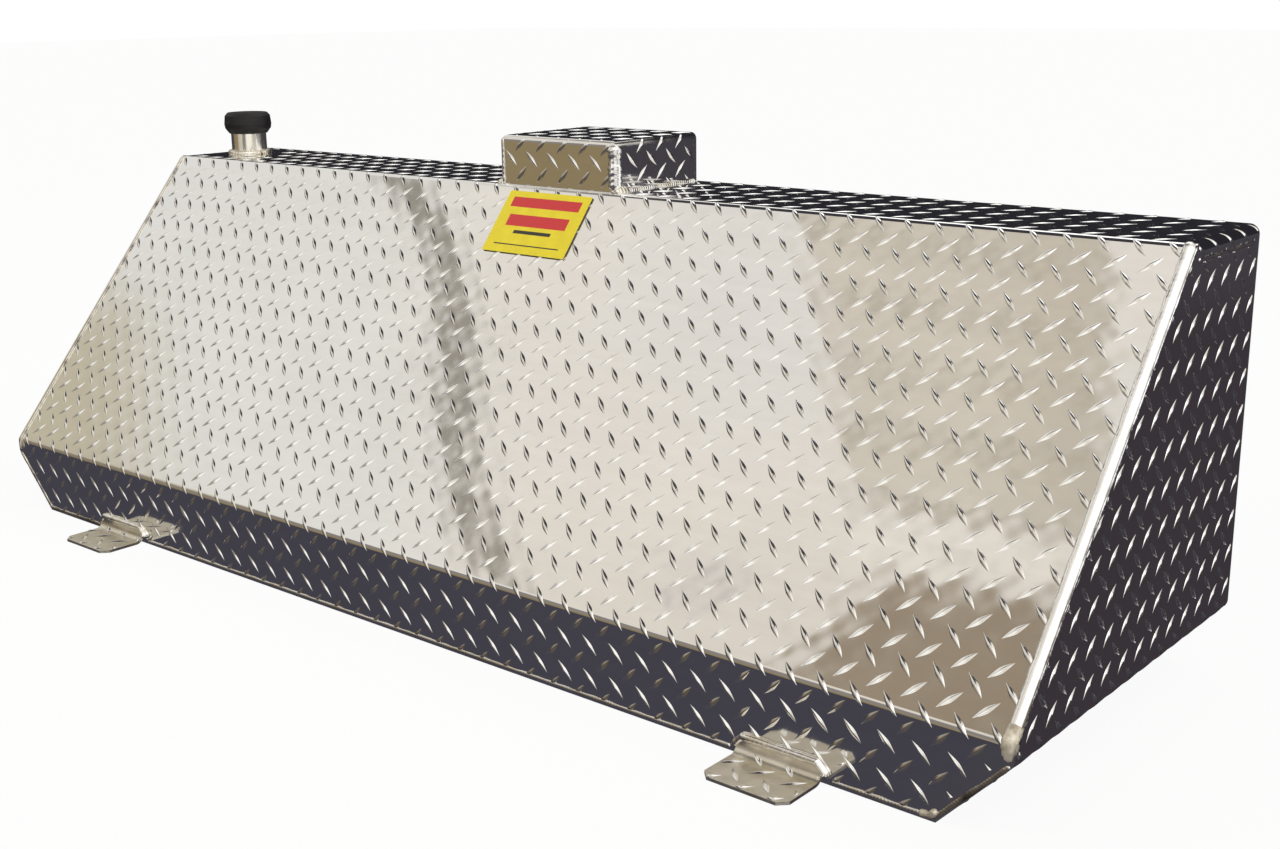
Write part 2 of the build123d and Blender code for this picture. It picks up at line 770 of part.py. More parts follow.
with BuildPart() as sender_post:
    with BuildSketch(Plane.XY.offset(flange_z)):
        with Locations((sender_x, fittings_y)):
            Circle(post_radius)
    extrude(amount=pivot_height - flange_z)
    with Locations((sender_x, fittings_y, pivot_height)):
        Box(housing_size, housing_depth, housing_size)
    fillet(sender_post.edges().filter_by(Axis.Y), radius=housing_round)
    with BuildSketch(along.offset(-fittings_y + housing_depth / 2)):
        with Locations((sender_x, pivot_height)):
            Circle(pivot_pin_radius)
    extrude(amount=hub_depth + 2 * hub_side_gap)
write(sender_post.part, "sender_post")

# Float arm: a hub on the pivot pin and a bent wire, at rest with the tank empty
arm_down = radians(arm_rest_angle)
float_x = sender_x - arm_reach * cos(arm_down)
float_z = pivot_height - arm_reach * sin(arm_down)
hub_edge_x = sender_x - (hub_radius - arm_radius) * cos(arm_down)
hub_edge_z = pivot_height - (hub_radius - arm_radius) * sin(arm_down)
float_y = hub_y + arm_bend + float_chamfer + float_length / 2
with BuildPart() as float_arm:
    with BuildSketch(along.offset(-hub_y - hub_depth / 2)):
        with Locations((sender_x, pivot_height)):
            Circle(hub_radius)
            Circle(pivot_pin_radius + pivot_pin_gap, mode=Mode.SUBTRACT)
    extrude(amount=hub_depth)
    with BuildLine() as wire_path:
        FilletPolyline(
            (hub_edge_x, hub_y, hub_edge_z),
            (float_x, hub_y, float_z),
            (float_x, float_y + float_length / 2 + float_chamfer, float_z),
            radius=arm_bend,
        )
    with BuildSketch(Plane(origin=wire_path.wire() @ 0, z_dir=wire_path.wire() % 0)):
        Circle(arm_radius)
    sweep(path=wire_path.wire())
write(float_arm.part, "float_arm")

with BuildPart() as level_float:
    with BuildSketch(along.offset(-float_y - float_length / 2)):
        with Locations((float_x, float_z)):
            Circle(float_radius)
    extrude(amount=float_length)
    chamfer(level_float.edges().filter_by(GeomType.CIRCLE), length=float_chamfer)
    with BuildSketch(along.offset(-float_y - float_length / 2)):
        with Locations((float_x, float_z)):
            Circle(arm_radius + thread_gap)
    extrude(amount=float_length, mode=Mode.SUBTRACT)
write(level_float.part, "level_float")

# Label: a plain film on a stiff backing, which lies over the lugs of the slope
with BuildPart() as label:
    with BuildSketch(slope):
        with Locations((label_x, label_up_slope)):
            RectangleRounded(label_width, label_height, label_round)
    extrude(amount=label_sheet)
write(label.part, "label")
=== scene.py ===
# %% [markdown]
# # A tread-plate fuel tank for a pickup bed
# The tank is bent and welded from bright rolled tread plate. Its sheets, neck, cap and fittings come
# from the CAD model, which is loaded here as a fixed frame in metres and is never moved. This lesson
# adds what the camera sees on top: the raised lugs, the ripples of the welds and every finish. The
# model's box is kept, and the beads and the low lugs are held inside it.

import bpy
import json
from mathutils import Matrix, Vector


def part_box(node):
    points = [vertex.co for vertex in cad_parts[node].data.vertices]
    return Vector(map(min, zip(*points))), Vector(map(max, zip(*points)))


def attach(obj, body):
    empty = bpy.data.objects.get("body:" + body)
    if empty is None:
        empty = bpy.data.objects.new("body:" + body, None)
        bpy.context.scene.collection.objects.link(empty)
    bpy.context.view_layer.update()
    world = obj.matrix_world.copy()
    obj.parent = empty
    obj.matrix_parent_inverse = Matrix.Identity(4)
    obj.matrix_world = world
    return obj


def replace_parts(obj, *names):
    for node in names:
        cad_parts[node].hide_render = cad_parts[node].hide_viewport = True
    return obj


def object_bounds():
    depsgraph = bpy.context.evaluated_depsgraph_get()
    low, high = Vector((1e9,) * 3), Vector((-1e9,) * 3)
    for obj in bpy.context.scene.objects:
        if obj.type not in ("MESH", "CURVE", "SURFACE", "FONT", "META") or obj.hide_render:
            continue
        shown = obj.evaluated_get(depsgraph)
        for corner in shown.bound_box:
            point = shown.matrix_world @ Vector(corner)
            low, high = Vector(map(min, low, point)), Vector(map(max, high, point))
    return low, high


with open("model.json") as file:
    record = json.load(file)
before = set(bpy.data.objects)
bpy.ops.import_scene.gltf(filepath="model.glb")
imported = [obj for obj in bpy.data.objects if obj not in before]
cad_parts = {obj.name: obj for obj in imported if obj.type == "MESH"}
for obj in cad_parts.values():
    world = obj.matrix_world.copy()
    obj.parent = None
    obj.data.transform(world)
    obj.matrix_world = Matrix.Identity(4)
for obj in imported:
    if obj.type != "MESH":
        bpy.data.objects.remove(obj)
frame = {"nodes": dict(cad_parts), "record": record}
nodes = frame["nodes"]
cad_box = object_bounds()

# %% [markdown]
# ## The sizes the scene works with
# Most places are read from the boxes of the CAD pieces, so they follow the model when it changes. The
# few sizes of the side profile that no box tells are named here once.

# %% Sizes
import json
import math

import bmesh
import bpy
import numpy as np
from mathutils import Matrix, Vector

nose_z = 0.0905
top_depth = 0.155
clip_length = 0.069
clip_height = 0.073
sheet = 0.0032
bend = 0.0102
lip_drop = 0.016

wrap_low, wrap_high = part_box("wrap_sheet")
half_length = wrap_high.x
front_y = wrap_low.y
back_y = wrap_high.y
top_z = wrap_high.z
top_front_y = back_y - top_depth

guard_low, guard_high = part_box("guard_box")
neck_low, neck_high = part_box("filler_neck")
neck_centre = (neck_low + neck_high) / 2
neck_radius = (neck_high.x - neck_low.x) / 2
print(f"tank {2 * half_length:.3f} x {back_y - front_y:.3f} x {top_z:.3f} m, neck at x {neck_centre.x:.3f}")

# %% [markdown]
# ## The camera
# The photograph was taken from the right, a little above the tank. The camera is placed by its eye
# point and three angles: yaw turns it left from the +Y axis, pitch tips it down and roll levels it.
# Its axes become the columns of the camera's matrix. A tracking constraint would aim it too, but the
# axes are needed again below, for the mirror image of the yard.

# %% Camera
camera_eye = Vector((1.2882, -1.3063, 0.6696))
camera_yaw = math.radians(40.304)
camera_pitch = math.radians(-14.883)
camera_roll = math.radians(-0.745)
lens_length = 44.895
sensor_width = 36
image_size = (1280, 849)

forward = Vector((
    -math.sin(camera_yaw) * math.cos(camera_pitch),
    math.cos(camera_yaw) * math.cos(camera_pitch),
    math.sin(camera_pitch),
))
level = Vector((math.cos(camera_yaw), math.sin(camera_yaw), 0))
steep = level.cross(forward)
right = math.cos(camera_roll) * level + math.sin(camera_roll) * steep
up = math.cos(camera_roll) * steep - math.sin(camera_roll) * level

camera_data = bpy.data.cameras.new("camera")
camera_data.sensor_width = sensor_width
camera_data.lens = lens_length
camera = bpy.data.objects.new("camera", camera_data)
bpy.context.scene.collection.objects.link(camera)
camera.matrix_world = Matrix.Translation(camera_eye) @ Matrix((right, up, -forward)).transposed().to_4x4()
bpy.context.scene.camera = camera
bpy.context.scene.view_settings.view_transform = "Standard"
print("camera looks along", tuple(round(part, 3) for part in forward))

# %% [markdown]
# ## Shader maths as Python
# A finish is a chain of small sums: a mask times a colour, a noise minus a half. This small class
# holds one socket of a node tree and lets Python's own operators add the Math nodes, so a finish reads
# as a formula. Any other node comes from `node`: its type, its settings, then its sockets. `layered`
# lays colours over one another, each through a mask, as a painter would.

# %% Shader helper
class Wire:
    """A value on its way through a node tree."""

    def __init__(self, tree, socket=None):
        self.tree = tree
        self.socket = socket

    def node(self, kind, settings=None, values=None, output=0):
        made = self.tree.nodes.new(kind)
        for name, setting in (settings or {}).items():
            setattr(made, name, setting)
        for name, value in (values or {}).items():
            if isinstance(value, Wire):
                self.tree.links.new(value.socket, made.inputs[name])
            else:
                made.inputs[name].default_value = value
        return Wire(self.tree, made.outputs[output] if made.outputs else None)

    def maths(self, operation, *values):
        return self.node("ShaderNodeMath", {"operation": operation}, dict(enumerate(values)))

    def __add__(self, other):
        return self.maths("ADD", self, other)

    def __sub__(self, other):
        return self.maths("SUBTRACT", self, other)

    def __rsub__(self, other):
        return self.maths("SUBTRACT", other, self)

    def __mul__(self, other):
        return self.maths("MULTIPLY", self, other)

    def __truediv__(self, other):
        return self.maths("DIVIDE", self, other)

    __radd__ = __add__
    __rmul__ = __mul__

    def ramp(self, start, end):
        """0 up to start, 1 from end on, with a smooth step between; start may be the larger one."""
        low, high = sorted((start, end))
        values = {"Value": self, "From Min": low, "From Max": high}
        rising = self.node("ShaderNodeMapRange", {"interpolation_type": "SMOOTHSTEP"}, values)
        return rising if start < end else 1 - rising

    def choose(self, zero, one):
        """A colour between two colours, with this value as the factor."""
        values = {0: self, 6: colour(zero), 7: colour(one)}
        return self.node("ShaderNodeMix", {"data_type": "RGBA"}, values, output=2)

    def dot(self, other):
        values = {0: self, 1: other}
        return self.node("ShaderNodeVectorMath", {"operation": "DOT_PRODUCT"}, values, output="Value")

    def times(self, factors):
        return self.node("ShaderNodeVectorMath", {"operation": "MULTIPLY"}, {0: self, 1: factors})

    def noise(self, scale, detail=3.0, distortion=0.0):
        """Cloudy noise from 0 to 1, at this many cells a metre."""
        values = {"Vector": self, "Scale": scale, "Detail": detail, "Distortion": distortion}
        return self.node("ShaderNodeTexNoise", values=values)

    def bump(self, strength, distance):
        """The surface normal, tilted as if this value were a height."""
        values = {"Height": self, "Strength": strength, "Distance": distance}
        return self.node("ShaderNodeBump", values=values, output="Normal")

    def place(self):
        """Where the point being shaded lies, in metres."""
        return self.node("ShaderNodeTexCoord", output="Object")

    def surface(self, kind="ShaderNodeOutputMaterial"):
        """Make this shader the surface of its material or world."""
        self.node(kind, values={"Surface": self})


def colour(value):
    """Three numbers get the fourth that a colour socket needs; a wire stays as it is."""
    return value if isinstance(value, Wire) else (*value, 1)


def layered(base, *layers):
    """A colour with others laid over it; each layer is a mask and the colour to show where it is 1."""
    for mask, over in layers:
        base = mask.choose(base, over)
    return base


print("shader helper ready")

# %% [markdown]
# ## What a mirror shows
# Polished metal has no colour of its own: it shows what stands around it. The slope mirrors the sky
# and the tall things of the yard that the tank stood in. A photographer would build this with a white
# dome and cards; here the world is painted by direction. A flat mirror shows what a second camera,
# mirrored behind it, would see. So that camera's axes turn every direction into a place in the
# picture, in pixels right and down from its top left corner, and the yard is painted at those places.

# %% Directions as places in the picture
slope_turn = math.atan2(top_z - nose_z, top_front_y - front_y)
slope_up = Vector((0, math.cos(slope_turn), math.sin(slope_turn)))
slope_out = Vector((0, -math.sin(slope_turn), math.cos(slope_turn)))
lens_pixels = image_size[0] * lens_length / sensor_width
picture_middle = (image_size[0] / 2, image_size[1] / 2)


def mirrored(vector):
    """A direction as the slope turns it back."""
    return vector - 2 * vector.dot(slope_out) * slope_out


world = bpy.data.worlds.new("yard")
world.use_nodes = True
bpy.context.scene.world = world
world.node_tree.nodes.clear()
yard = Wire(world.node_tree)
direction = yard.node("ShaderNodeTexCoord", output="Generated")
picture_depth = yard.maths("MAXIMUM", direction.dot(mirrored(forward)), 0.05)
across_picture = direction.dot(mirrored(right)) / picture_depth * lens_pixels + picture_middle[0]
down_picture = picture_middle[1] - direction.dot(mirrored(up)) / picture_depth * lens_pixels
warp = (direction.noise(14.0, 3) - 0.5) * 60
warped_across = across_picture + warp
warped_down = down_picture + warp
print("one metre at one metre away is", round(lens_pixels), "pixels wide")

# %% [markdown]
# ## The sky on the slope
# The sky is a soft cream with clouds, browner low down, tan at the far left, with a faint smudge in the
# middle. Each patch is a product of ramps, one to an edge, and a pair of pixels says where the edge
# starts and ends. A little noise added to the place makes it wander, as on a sheet not quite flat.

# %% Sky, haze and smudge
warms_across = (300, 560)
haze_across = (350, 560)
haze_down = (420, 640)
tan_across = (215, 70)
tan_down = (240, 340)
smudge_place = (702, 596)
smudge_half_size = (60, 42)

clouds = direction.noise(3.5, 4).ramp(0.45, 0.75) * 0.5
haze = warped_down.ramp(*haze_down) * across_picture.ramp(*haze_across) * 0.7
tan_patch = (across_picture + warp * 1.5).ramp(*tan_across) * warped_down.ramp(*tan_down)
from_smudge_across = (across_picture - smudge_place[0]) / smudge_half_size[0]
from_smudge_down = (down_picture - smudge_place[1]) / smudge_half_size[1]
from_smudge = from_smudge_across * from_smudge_across + from_smudge_down * from_smudge_down
smudge = from_smudge.ramp(1.6, 0.1) * direction.noise(42.0, 3).ramp(0.50, 0.60) * 0.8
sky_colour = layered(
    (0.83, 0.815, 0.77),
    (warped_across.ramp(*warms_across), (0.86, 0.81, 0.735)),
    (clouds, (0.80, 0.80, 0.79)),
    (haze, (0.76, 0.70, 0.62)),
    (tan_patch, (0.56, 0.51, 0.38)),
    (smudge, (0.50, 0.47, 0.46)),
)
print("the sky is painted")

# %% [markdown]
# ## The pole, the wall and the shed on the slope
# A dark pole shows as a bowed streak, because the sheet bows a little: the bow is a cubic curve. At
# the right stands a boarded wall over a pale ledge and a brown shed. The boards are the fraction of a
# height that falls to the right, and each edge is again a ramp.

# %% Pole, wall, ledge and shed
pole_place = (465, 385)
pole_bow = 50
pole_bow_reach = 200
pole_left = (-30, -16)
pole_right = (14, 2)
pole_foot = (640, 560)
wall_left = (792, 812)
wall_right = (1114, 1106)
wall_top = 224
wall_foot = (512, 500)
wall_lean = 0.19
wall_shade = (960, 1100)
board_dip = 0.15
board_dips_from = 850
board_height = 66
ledge_left = (835, 870)
ledge_top = (508, 520)
ledge_foot = (572, 560)
shed_top = (566, 572)
shed_foot = (810, 785)
shed_right = (1200, 1120)
shed_corner = (868, 600)
shed_lean = 1.1
shed_edge = (-4, 6)

pole_turn = (down_picture - pole_place[1]) / pole_bow_reach
pole_middle = pole_turn * pole_turn * pole_turn * pole_bow + pole_place[0]
beside_pole = across_picture - pole_middle + warp * 0.15
pole = beside_pole.ramp(*pole_left) * beside_pole.ramp(*pole_right) * warped_down.ramp(*pole_foot) * 0.95

wall_fall = down_picture - (across_picture - board_dips_from) * board_dip
wall_edge = across_picture - (down_picture - wall_top) * wall_lean + warp * 0.2
wall = wall_edge.ramp(*wall_left) * across_picture.ramp(*wall_right) * wall_fall.ramp(*wall_foot) * 0.92
board = yard.maths("FRACT", (wall_fall + warp * 0.06 - wall_top) / board_height)
board_colour = layered(
    (0.42, 0.37, 0.29),
    (board.ramp(0.10, 0.34), (0.70, 0.635, 0.53)),
    (board.ramp(0.80, 1.0) * 0.75, (0.80, 0.74, 0.64)),
    (across_picture.ramp(*wall_shade) * 0.55, (0.46, 0.40, 0.31)),
)

ledge = (across_picture + warp * 0.3).ramp(*ledge_left)
ledge = ledge * wall_fall.ramp(*ledge_top) * wall_fall.ramp(*ledge_foot)
from_shed = across_picture - shed_corner[0] + (down_picture - shed_corner[1]) * shed_lean + warp * 0.1
shed = wall_fall.ramp(*shed_top) * from_shed.ramp(*shed_edge)
shed = shed * down_picture.ramp(*shed_foot) * across_picture.ramp(*shed_right)
sky_colour = layered(
    sky_colour,
    (pole, (0.27, 0.245, 0.20)),
    (wall, board_colour),
    (ledge, (0.88, 0.83, 0.75)),
    (shed, (0.335, 0.27, 0.195)),
)
print("the yard on the slope is painted")

# %% [markdown]
# ## The rest of the yard
# The other faces look elsewhere: the kick and the ends down at dark ground, the top back at a dark
# treeline, the guard box at a tan bank. So the horizon stands higher where something tall stands, the
# band below it changes colour with the direction, and the ground is dark but for a pale patch beside
# the camera. Each mask says how near a direction lies to a given one.

# %% Band, ground and horizon
height = direction.dot((0, 0, 1))
drift = (direction.noise(2.2, 2) - 0.5) * 0.06


def toward(x, y, z, start, end):
    """1 where a direction lies close to this one. Start and end are cosines of the angle between them."""
    return direction.dot((x, y, z)).ramp(start, end)


to_the_back = toward(-0.25, 0.97, 0, 0.53, 0.68)
to_the_left = toward(-1.0, 0.05, 0, 0.84, 0.94)
to_the_right = toward(0.875, 0.484, 0, 0.91, 0.96)
to_the_front = toward(0.05, -1.0, 0, 0.80, 0.93)
front_left = toward(-0.50, -0.866, 0, 0.80, 0.88) * toward(-1, 0, 0, 0.20, 0.30)
horizon = 0.10 + to_the_back * 0.56 + to_the_left * 0.28 - to_the_right * 0.11 - to_the_front * 0.13
horizon = horizon + front_left * 0.36

band_colour = layered(
    (0.060, 0.056, 0.066),
    (toward(-0.50, -0.87, 0, 0.80, 0.90), (0.29, 0.225, 0.125)),
    (toward(-0.10, -0.995, 0, 0.93, 0.98), (0.60, 0.57, 0.50)),
    (toward(-0.96, -0.28, 0, 0.89, 0.96) * height.ramp(0.06, 0.14), (0.37, 0.33, 0.27)),
    (front_left * height.ramp(0.02, 0.08), (0.27, 0.245, 0.225)),
)
dark_ground = toward(0, 1, 0, -0.4, 0.4).choose((0.060, 0.058, 0.076), (0.046, 0.038, 0.046))
ground_colour = layered(
    band_colour,
    ((height + drift).ramp(-0.13, -0.20), dark_ground),
    (toward(-0.10, -0.70, -0.70, 0.90, 0.97), (0.11, 0.09, 0.065)),
    (toward(0.80, -0.59, 0, 0.86, 0.97), (1.10, 1.08, 1.02)),
)
treeline = to_the_back.choose(band_colour, (0.022, 0.021, 0.026))
low_colour = (height + drift * 0.4).ramp(0.03, 0.0).choose(treeline, ground_colour)
print("the low half of the yard is painted")

# %% [markdown]
# ## Glowing clouds and branches
# Lugs flash where one of their flanks looks at something bright, so a few clouds glow, each at a place
# that some flanks mirror, and dark branches hang overhead, where other flanks look. The high half and
# the low half meet at the horizon. White cards could light the flanks too, but would show on the
# sheets. The camera alone sees plain white instead of the yard, so that the tank stands on a clean page.

# %% Glowing clouds, branches and the finished world
branches = toward(0, 1, 0, -0.28, -0.20) * toward(0, 1, 0, 0.38, 0.28) * height.ramp(0.68, 0.78)
branches = branches * toward(1, 0, 0, 0.14, 0.04)
high_colour = layered(
    sky_colour,
    (toward(0.597, -0.398, 0.697, 0.84, 0.96), (1.7, 1.7, 1.7)),
    (toward(-0.05, -0.97, 0.22, 0.93, 0.97), (1.06, 1.05, 1.00)),
    (toward(-0.25, 0.55, 0.80, 0.90, 0.96), (1.6, 1.6, 1.57)),
    (toward(0.90, 0.42, 0.08, 0.86, 0.95), (1.25, 1.25, 1.24)),
    (branches, (0.045, 0.043, 0.05)),
)
above = (height + drift * 0.5 - horizon).ramp(-0.02, 0.02)
yard_colour = above.choose(low_colour, high_colour)

backdrop_colour = (1.0, 1.0, 1.0)
seen = yard.node("ShaderNodeLightPath", output="Is Camera Ray")
world_colour = seen.choose(yard_colour, backdrop_colour)
yard.node("ShaderNodeBackground", values={"Color": world_colour}).surface("ShaderNodeOutputWorld")
print("world nodes:", len(world.node_tree.nodes))

# %% [markdown]
# ## Floor and lamp
# A pale floor keeps the tank's soft shadow. It is nearly all white light to the camera and plain paint
# to everything else, and it is left out of reflections, where the yard's dark ground should show. A
# weak lamp, left out of them too, shapes the plastic of the cap and the label.

# %% Floor and lamp
def new_material(name):
    """An empty node material, and a wire to start its finish from."""
    material = bpy.data.materials.new(name)
    material.use_nodes = True
    material.node_tree.nodes.clear()
    return material, Wire(material.node_tree)


def finish_material(start, base, roughness, metallic=0.0, normal=None):
    """End a finish in a Principled shader; each value is a number, a colour or a wire."""
    values = {"Base Color": colour(base), "Roughness": roughness, "Metallic": metallic}
    if normal is not None:
        values["Normal"] = normal
    start.node("ShaderNodeBsdfPrincipled", values=values, output="BSDF").surface()


floor_size = 60
white_share = 0.92
floor_material, start = new_material("pale_floor")
lit = start.node("ShaderNodeBsdfDiffuse", values={"Color": (0.95, 0.95, 0.95, 1)})
white = start.node("ShaderNodeEmission", values={"Color": (1.0, 1.0, 1.0, 1)})
seen = start.node("ShaderNodeLightPath", output="Is Camera Ray")
start.node("ShaderNodeMixShader", values={0: seen * white_share, 1: lit, 2: white}).surface()

bpy.ops.mesh.primitive_plane_add(size=floor_size)
floor = bpy.context.object
floor.name = "floor"
floor.data.materials.append(floor_material)
floor.visible_glossy = False

lamp_data = bpy.data.lights.new("key_lamp", "AREA")
lamp_data.size = 1.4
lamp_data.energy = 18
lamp = bpy.data.objects.new("key_lamp", lamp_data)
lamp.location = (-1.6, -2.4, 3.0)
lamp_aim = Vector((0, 0, 0.2))
lamp.rotation_euler = (lamp_aim - lamp.location).to_track_quat("-Z", "Y").to_euler()
lamp.visible_glossy = False
bpy.context.scene.collection.objects.link(lamp)
print("floor and lamp placed")

# %% [markdown]
# ## A sheet followed round its folds
# Tread plate is rolled flat, cut, and only then folded, so its pattern runs on round each fold. The
# same order works here: lugs are laid out flat, cut at the sheet's edges, and then carried onto the
# folded face. `follow` is the fold: for distances along a folded profile it gives the points and the
# outward normals, with a true arc at each corner.

# %% Follow a folded profile
def follow(corners, radius, distances):
    """Points and outward normals along a profile of straight runs joined by arcs. Outward is left."""
    corners = [np.array(corner, float) for corner in corners]
    runs = [b - a for a, b in zip(corners, corners[1:])]
    headings = [math.atan2(run[1], run[0]) for run in runs]
    turns = [(b - a + math.pi) % (2 * math.pi) - math.pi for a, b in zip(headings, headings[1:])]
    cuts = [0.0] + [radius * math.tan(abs(turn) / 2) for turn in turns] + [0.0]
    points = np.zeros((len(distances), 2))
    normals = np.zeros((len(distances), 2))
    start = 0.0
    for number, run in enumerate(runs):
        heading = headings[number]
        ahead = np.array((math.cos(heading), math.sin(heading)))
        left = np.array((-ahead[1], ahead[0]))
        length = np.linalg.norm(run) - cuts[number] - cuts[number + 1]
        first = corners[number] + ahead * cuts[number]
        here = (distances >= start) | (number == 0)
        along = (distances - start)[:, None]
        points = np.where(here[:, None], first + ahead * along, points)
        normals = np.where(here[:, None], left, normals)
        start += length
        if number == len(turns):
            break
        turn = turns[number]
        side = math.copysign(1.0, turn)
        centre = first + ahead * length + side * radius * left
        angle = heading + side * (distances - start)[:, None] / radius
        spoke = np.hstack((np.sin(angle), -np.cos(angle)))
        here = distances >= start
        points = np.where(here[:, None], centre + side * radius * spoke, points)
        normals = np.where(here[:, None], -spoke, normals)
        start += radius * abs(turn)
    return points, normals


wrap_corners = [(front_y, 0), (front_y, nose_z), (top_front_y, top_z), (back_y, top_z)]
tried, _ = follow(wrap_corners, bend, np.array([0.0, nose_z]))
print("the fold at the nose passes through", tried[1].round(4))

# %% [markdown]
# ## The raised lugs of tread plate
# A lug is a pointed bar about an inch long that leans 45 degrees, and its neighbours lean the other
# way. Each is a small faceted hill that throws the sky back from one flank. A bump map could suggest
# them, but their flanks and their outline at the sheets' edges need real geometry. All lugs of a sheet
# are one array of points in the flat sheet's own measure: across, along and height. The fullness of
# outline, crest and flanks is a power; 2 would be a parabola.

# %% One lug
lug_length = 0.0265
lug_width = 0.0064
lug_height = 0.0016
lug_sunk = 0.0002
tip_share = 0.05
outline_fullness = 1.6
crest_fullness = 1.2
flank_fullness = 1.5


def lug_shape(steps_along=8, steps_across=6):
    """Points (along, across, height) of one lug that lies along the first axis, and its faces."""
    points = []
    for a in np.linspace(-1, 1, steps_along + 1):
        half_width = lug_width / 2 * (tip_share + (1 - tip_share) * (1 - abs(a) ** outline_fullness))
        crest = lug_height * (1 - abs(a) ** crest_fullness)
        for b in np.linspace(-1, 1, steps_across + 1):
            rise = crest * (1 - abs(b) ** flank_fullness)
            points.append((a * lug_length / 2, b * half_width, rise if abs(b) < 1 else -lug_sunk))
    row = steps_across + 1
    faces = [
        (i * row + j, (i + 1) * row + j, (i + 1) * row + j + 1, i * row + j + 1)
        for i in range(steps_along)
        for j in range(steps_across)
    ]
    last = steps_along * row
    rim = [i * row for i in range(steps_along + 1)]
    rim += [last + j for j in range(1, row)]
    rim += [i * row + steps_across for i in range(steps_along - 1, -1, -1)]
    rim += [j for j in range(steps_across - 1, 0, -1)]
    return np.array(points), faces + [tuple(rim)]


lug_points, lug_faces = lug_shape()
print("one lug:", len(lug_points), "points,", len(lug_faces), "faces")

# %% [markdown]
# ## A lattice of lugs, cut to the sheet
# The lattice has one lug in each cell and one, leaning the other way, in the middle of four. Shears cut
# through lugs too, so the lugs that cross the outline are bisected there and closed with a face. Lugs
# are left out where the maker ground them off to weld.

# %% Lay and cut lugs
def rectangle(low_x, low_y, high_x, high_y):
    """The corners of an upright rectangle, anticlockwise."""
    return [(low_x, low_y), (high_x, low_y), (high_x, high_y), (low_x, high_y)]


def join(*parts):
    """Several pairs of points and faces as one pair."""
    points, faces = [], []
    for part_points, part_faces in parts:
        first = sum(len(p) for p in points)
        points.append(part_points)
        faces += [tuple(index + first for index in face) for face in part_faces]
    return np.vstack(points), faces


def sides_of(outline):
    """Each edge of a convex outline, listed anticlockwise, as a point and its outward normal."""
    for (x0, y0), (x1, y1) in zip(outline, outline[1:] + outline[:1]):
        normal = np.array((y1 - y0, x0 - x1))
        yield np.array((x0, y0)), normal / np.linalg.norm(normal)


def outside(points, outline):
    """How far each point lies outside a convex outline; inside it is negative."""
    return np.max([(points - point) @ normal for point, normal in sides_of(outline)], axis=0)


def cut_lugs(points, faces, outline):
    """The lugs that cross the outline, cut there and closed."""
    mesh = bmesh.new()
    made = [mesh.verts.new(point) for point in points]
    for face in faces:
        mesh.faces.new([made[index] for index in face])
    for point, normal in sides_of(outline):
        everything = mesh.verts[:] + mesh.edges[:] + mesh.faces[:]
        bmesh.ops.bisect_plane(
            mesh, geom=everything, plane_co=(*point, 0), plane_no=(*normal, 0), clear_outer=True
        )
        bmesh.ops.edgeloop_fill(mesh, edges=[edge for edge in mesh.edges if edge.is_boundary])
    mesh.verts.index_update()
    points = np.array([vertex.co for vertex in mesh.verts]).reshape(-1, 3)
    faces = [tuple(vertex.index for vertex in face.verts) for face in mesh.faces]
    mesh.free()
    return points, faces


def lay_lugs(outline, pitch, start, lean, keep=None, fat=1.0):
    """Flat points and faces of the lugs inside an outline. One lug of the lattice lies at start.

    Lean is +1 where that lug rises to the right, keep picks lugs by their centres, and fat is how many
    times as wide as usual they are.
    """
    low, high = np.min(outline, axis=0), np.max(outline, axis=0)
    centres, leans = [], []
    for shift, side in ((0.0, lean), (0.5, -lean)):
        first = [math.floor((low[k] - start[k]) / pitch[k] - 1) + shift for k in (0, 1)]
        count = [math.ceil((high[k] - low[k]) / pitch[k]) + 3 for k in (0, 1)]
        grid = [start[k] + pitch[k] * (first[k] + np.arange(count[k])) for k in (0, 1)]
        spots = np.stack(np.meshgrid(*grid), axis=-1).reshape(-1, 2)
        centres.append(spots)
        leans.append(np.full(len(spots), side))
    centres, leans = np.vstack(centres), np.concatenate(leans)
    near = outside(centres, outline) < lug_length / 2
    if keep is not None:
        near &= keep(centres[:, 0], centres[:, 1])
    centres, leans = centres[near], leans[near]
    diagonal = math.sqrt(0.5)
    along, across = lug_points[:, 0], fat * lug_points[:, 1]
    x = diagonal * (along - leans[:, None] * across) + centres[:, :1]
    y = diagonal * (leans[:, None] * along + across) + centres[:, 1:]
    points = np.stack((x, y, np.broadcast_to(lug_points[:, 2], x.shape)), axis=-1)
    far_out = outside(points[:, :, :2].reshape(-1, 2), outline).reshape(x.shape)
    whole = far_out.max(axis=1) < 0
    crossing = ~whole & (far_out.min(axis=1) < 0)

    def lugs_where(chosen):
        size = len(lug_points)
        faces = [tuple(size * n + i for i in face) for n in range(int(chosen.sum())) for face in lug_faces]
        return points[chosen].reshape(-1, 3), faces

    if not crossing.any():
        return lugs_where(whole)
    return join(lugs_where(whole), cut_lugs(*lugs_where(crossing), outline))


trial = lay_lugs(rectangle(0.0, 0.0, 0.1, 0.1), (0.034, 0.036), (0.01, 0.01), 1)
print("a 100 mm square of plate:", len(trial[1]), "faces")

# %% [markdown]
# ## From flat plate to folded sheet
# These functions carry flat lug points onto a face of the tank and make the piece. Points are carried
# along the fold by `follow`, and stand off the sheet along its normal, so a lug that lies across a
# fold bends with it, as it does in the press brake. Each piece rides on the tank's body.

# %% Carry and make pieces
def folded_along(axis, corners, radius, shift=0.0):
    """A function that carries flat points onto a folded sheet whose folds run along the X or Y axis."""

    def carry(flat):
        points, normals = follow(corners, radius, flat[:, 1] + shift)
        p, q = (points + normals * flat[:, 2:]).T
        return np.column_stack((flat[:, 0], p, q) if axis == "X" else (p, flat[:, 0], q))

    return carry


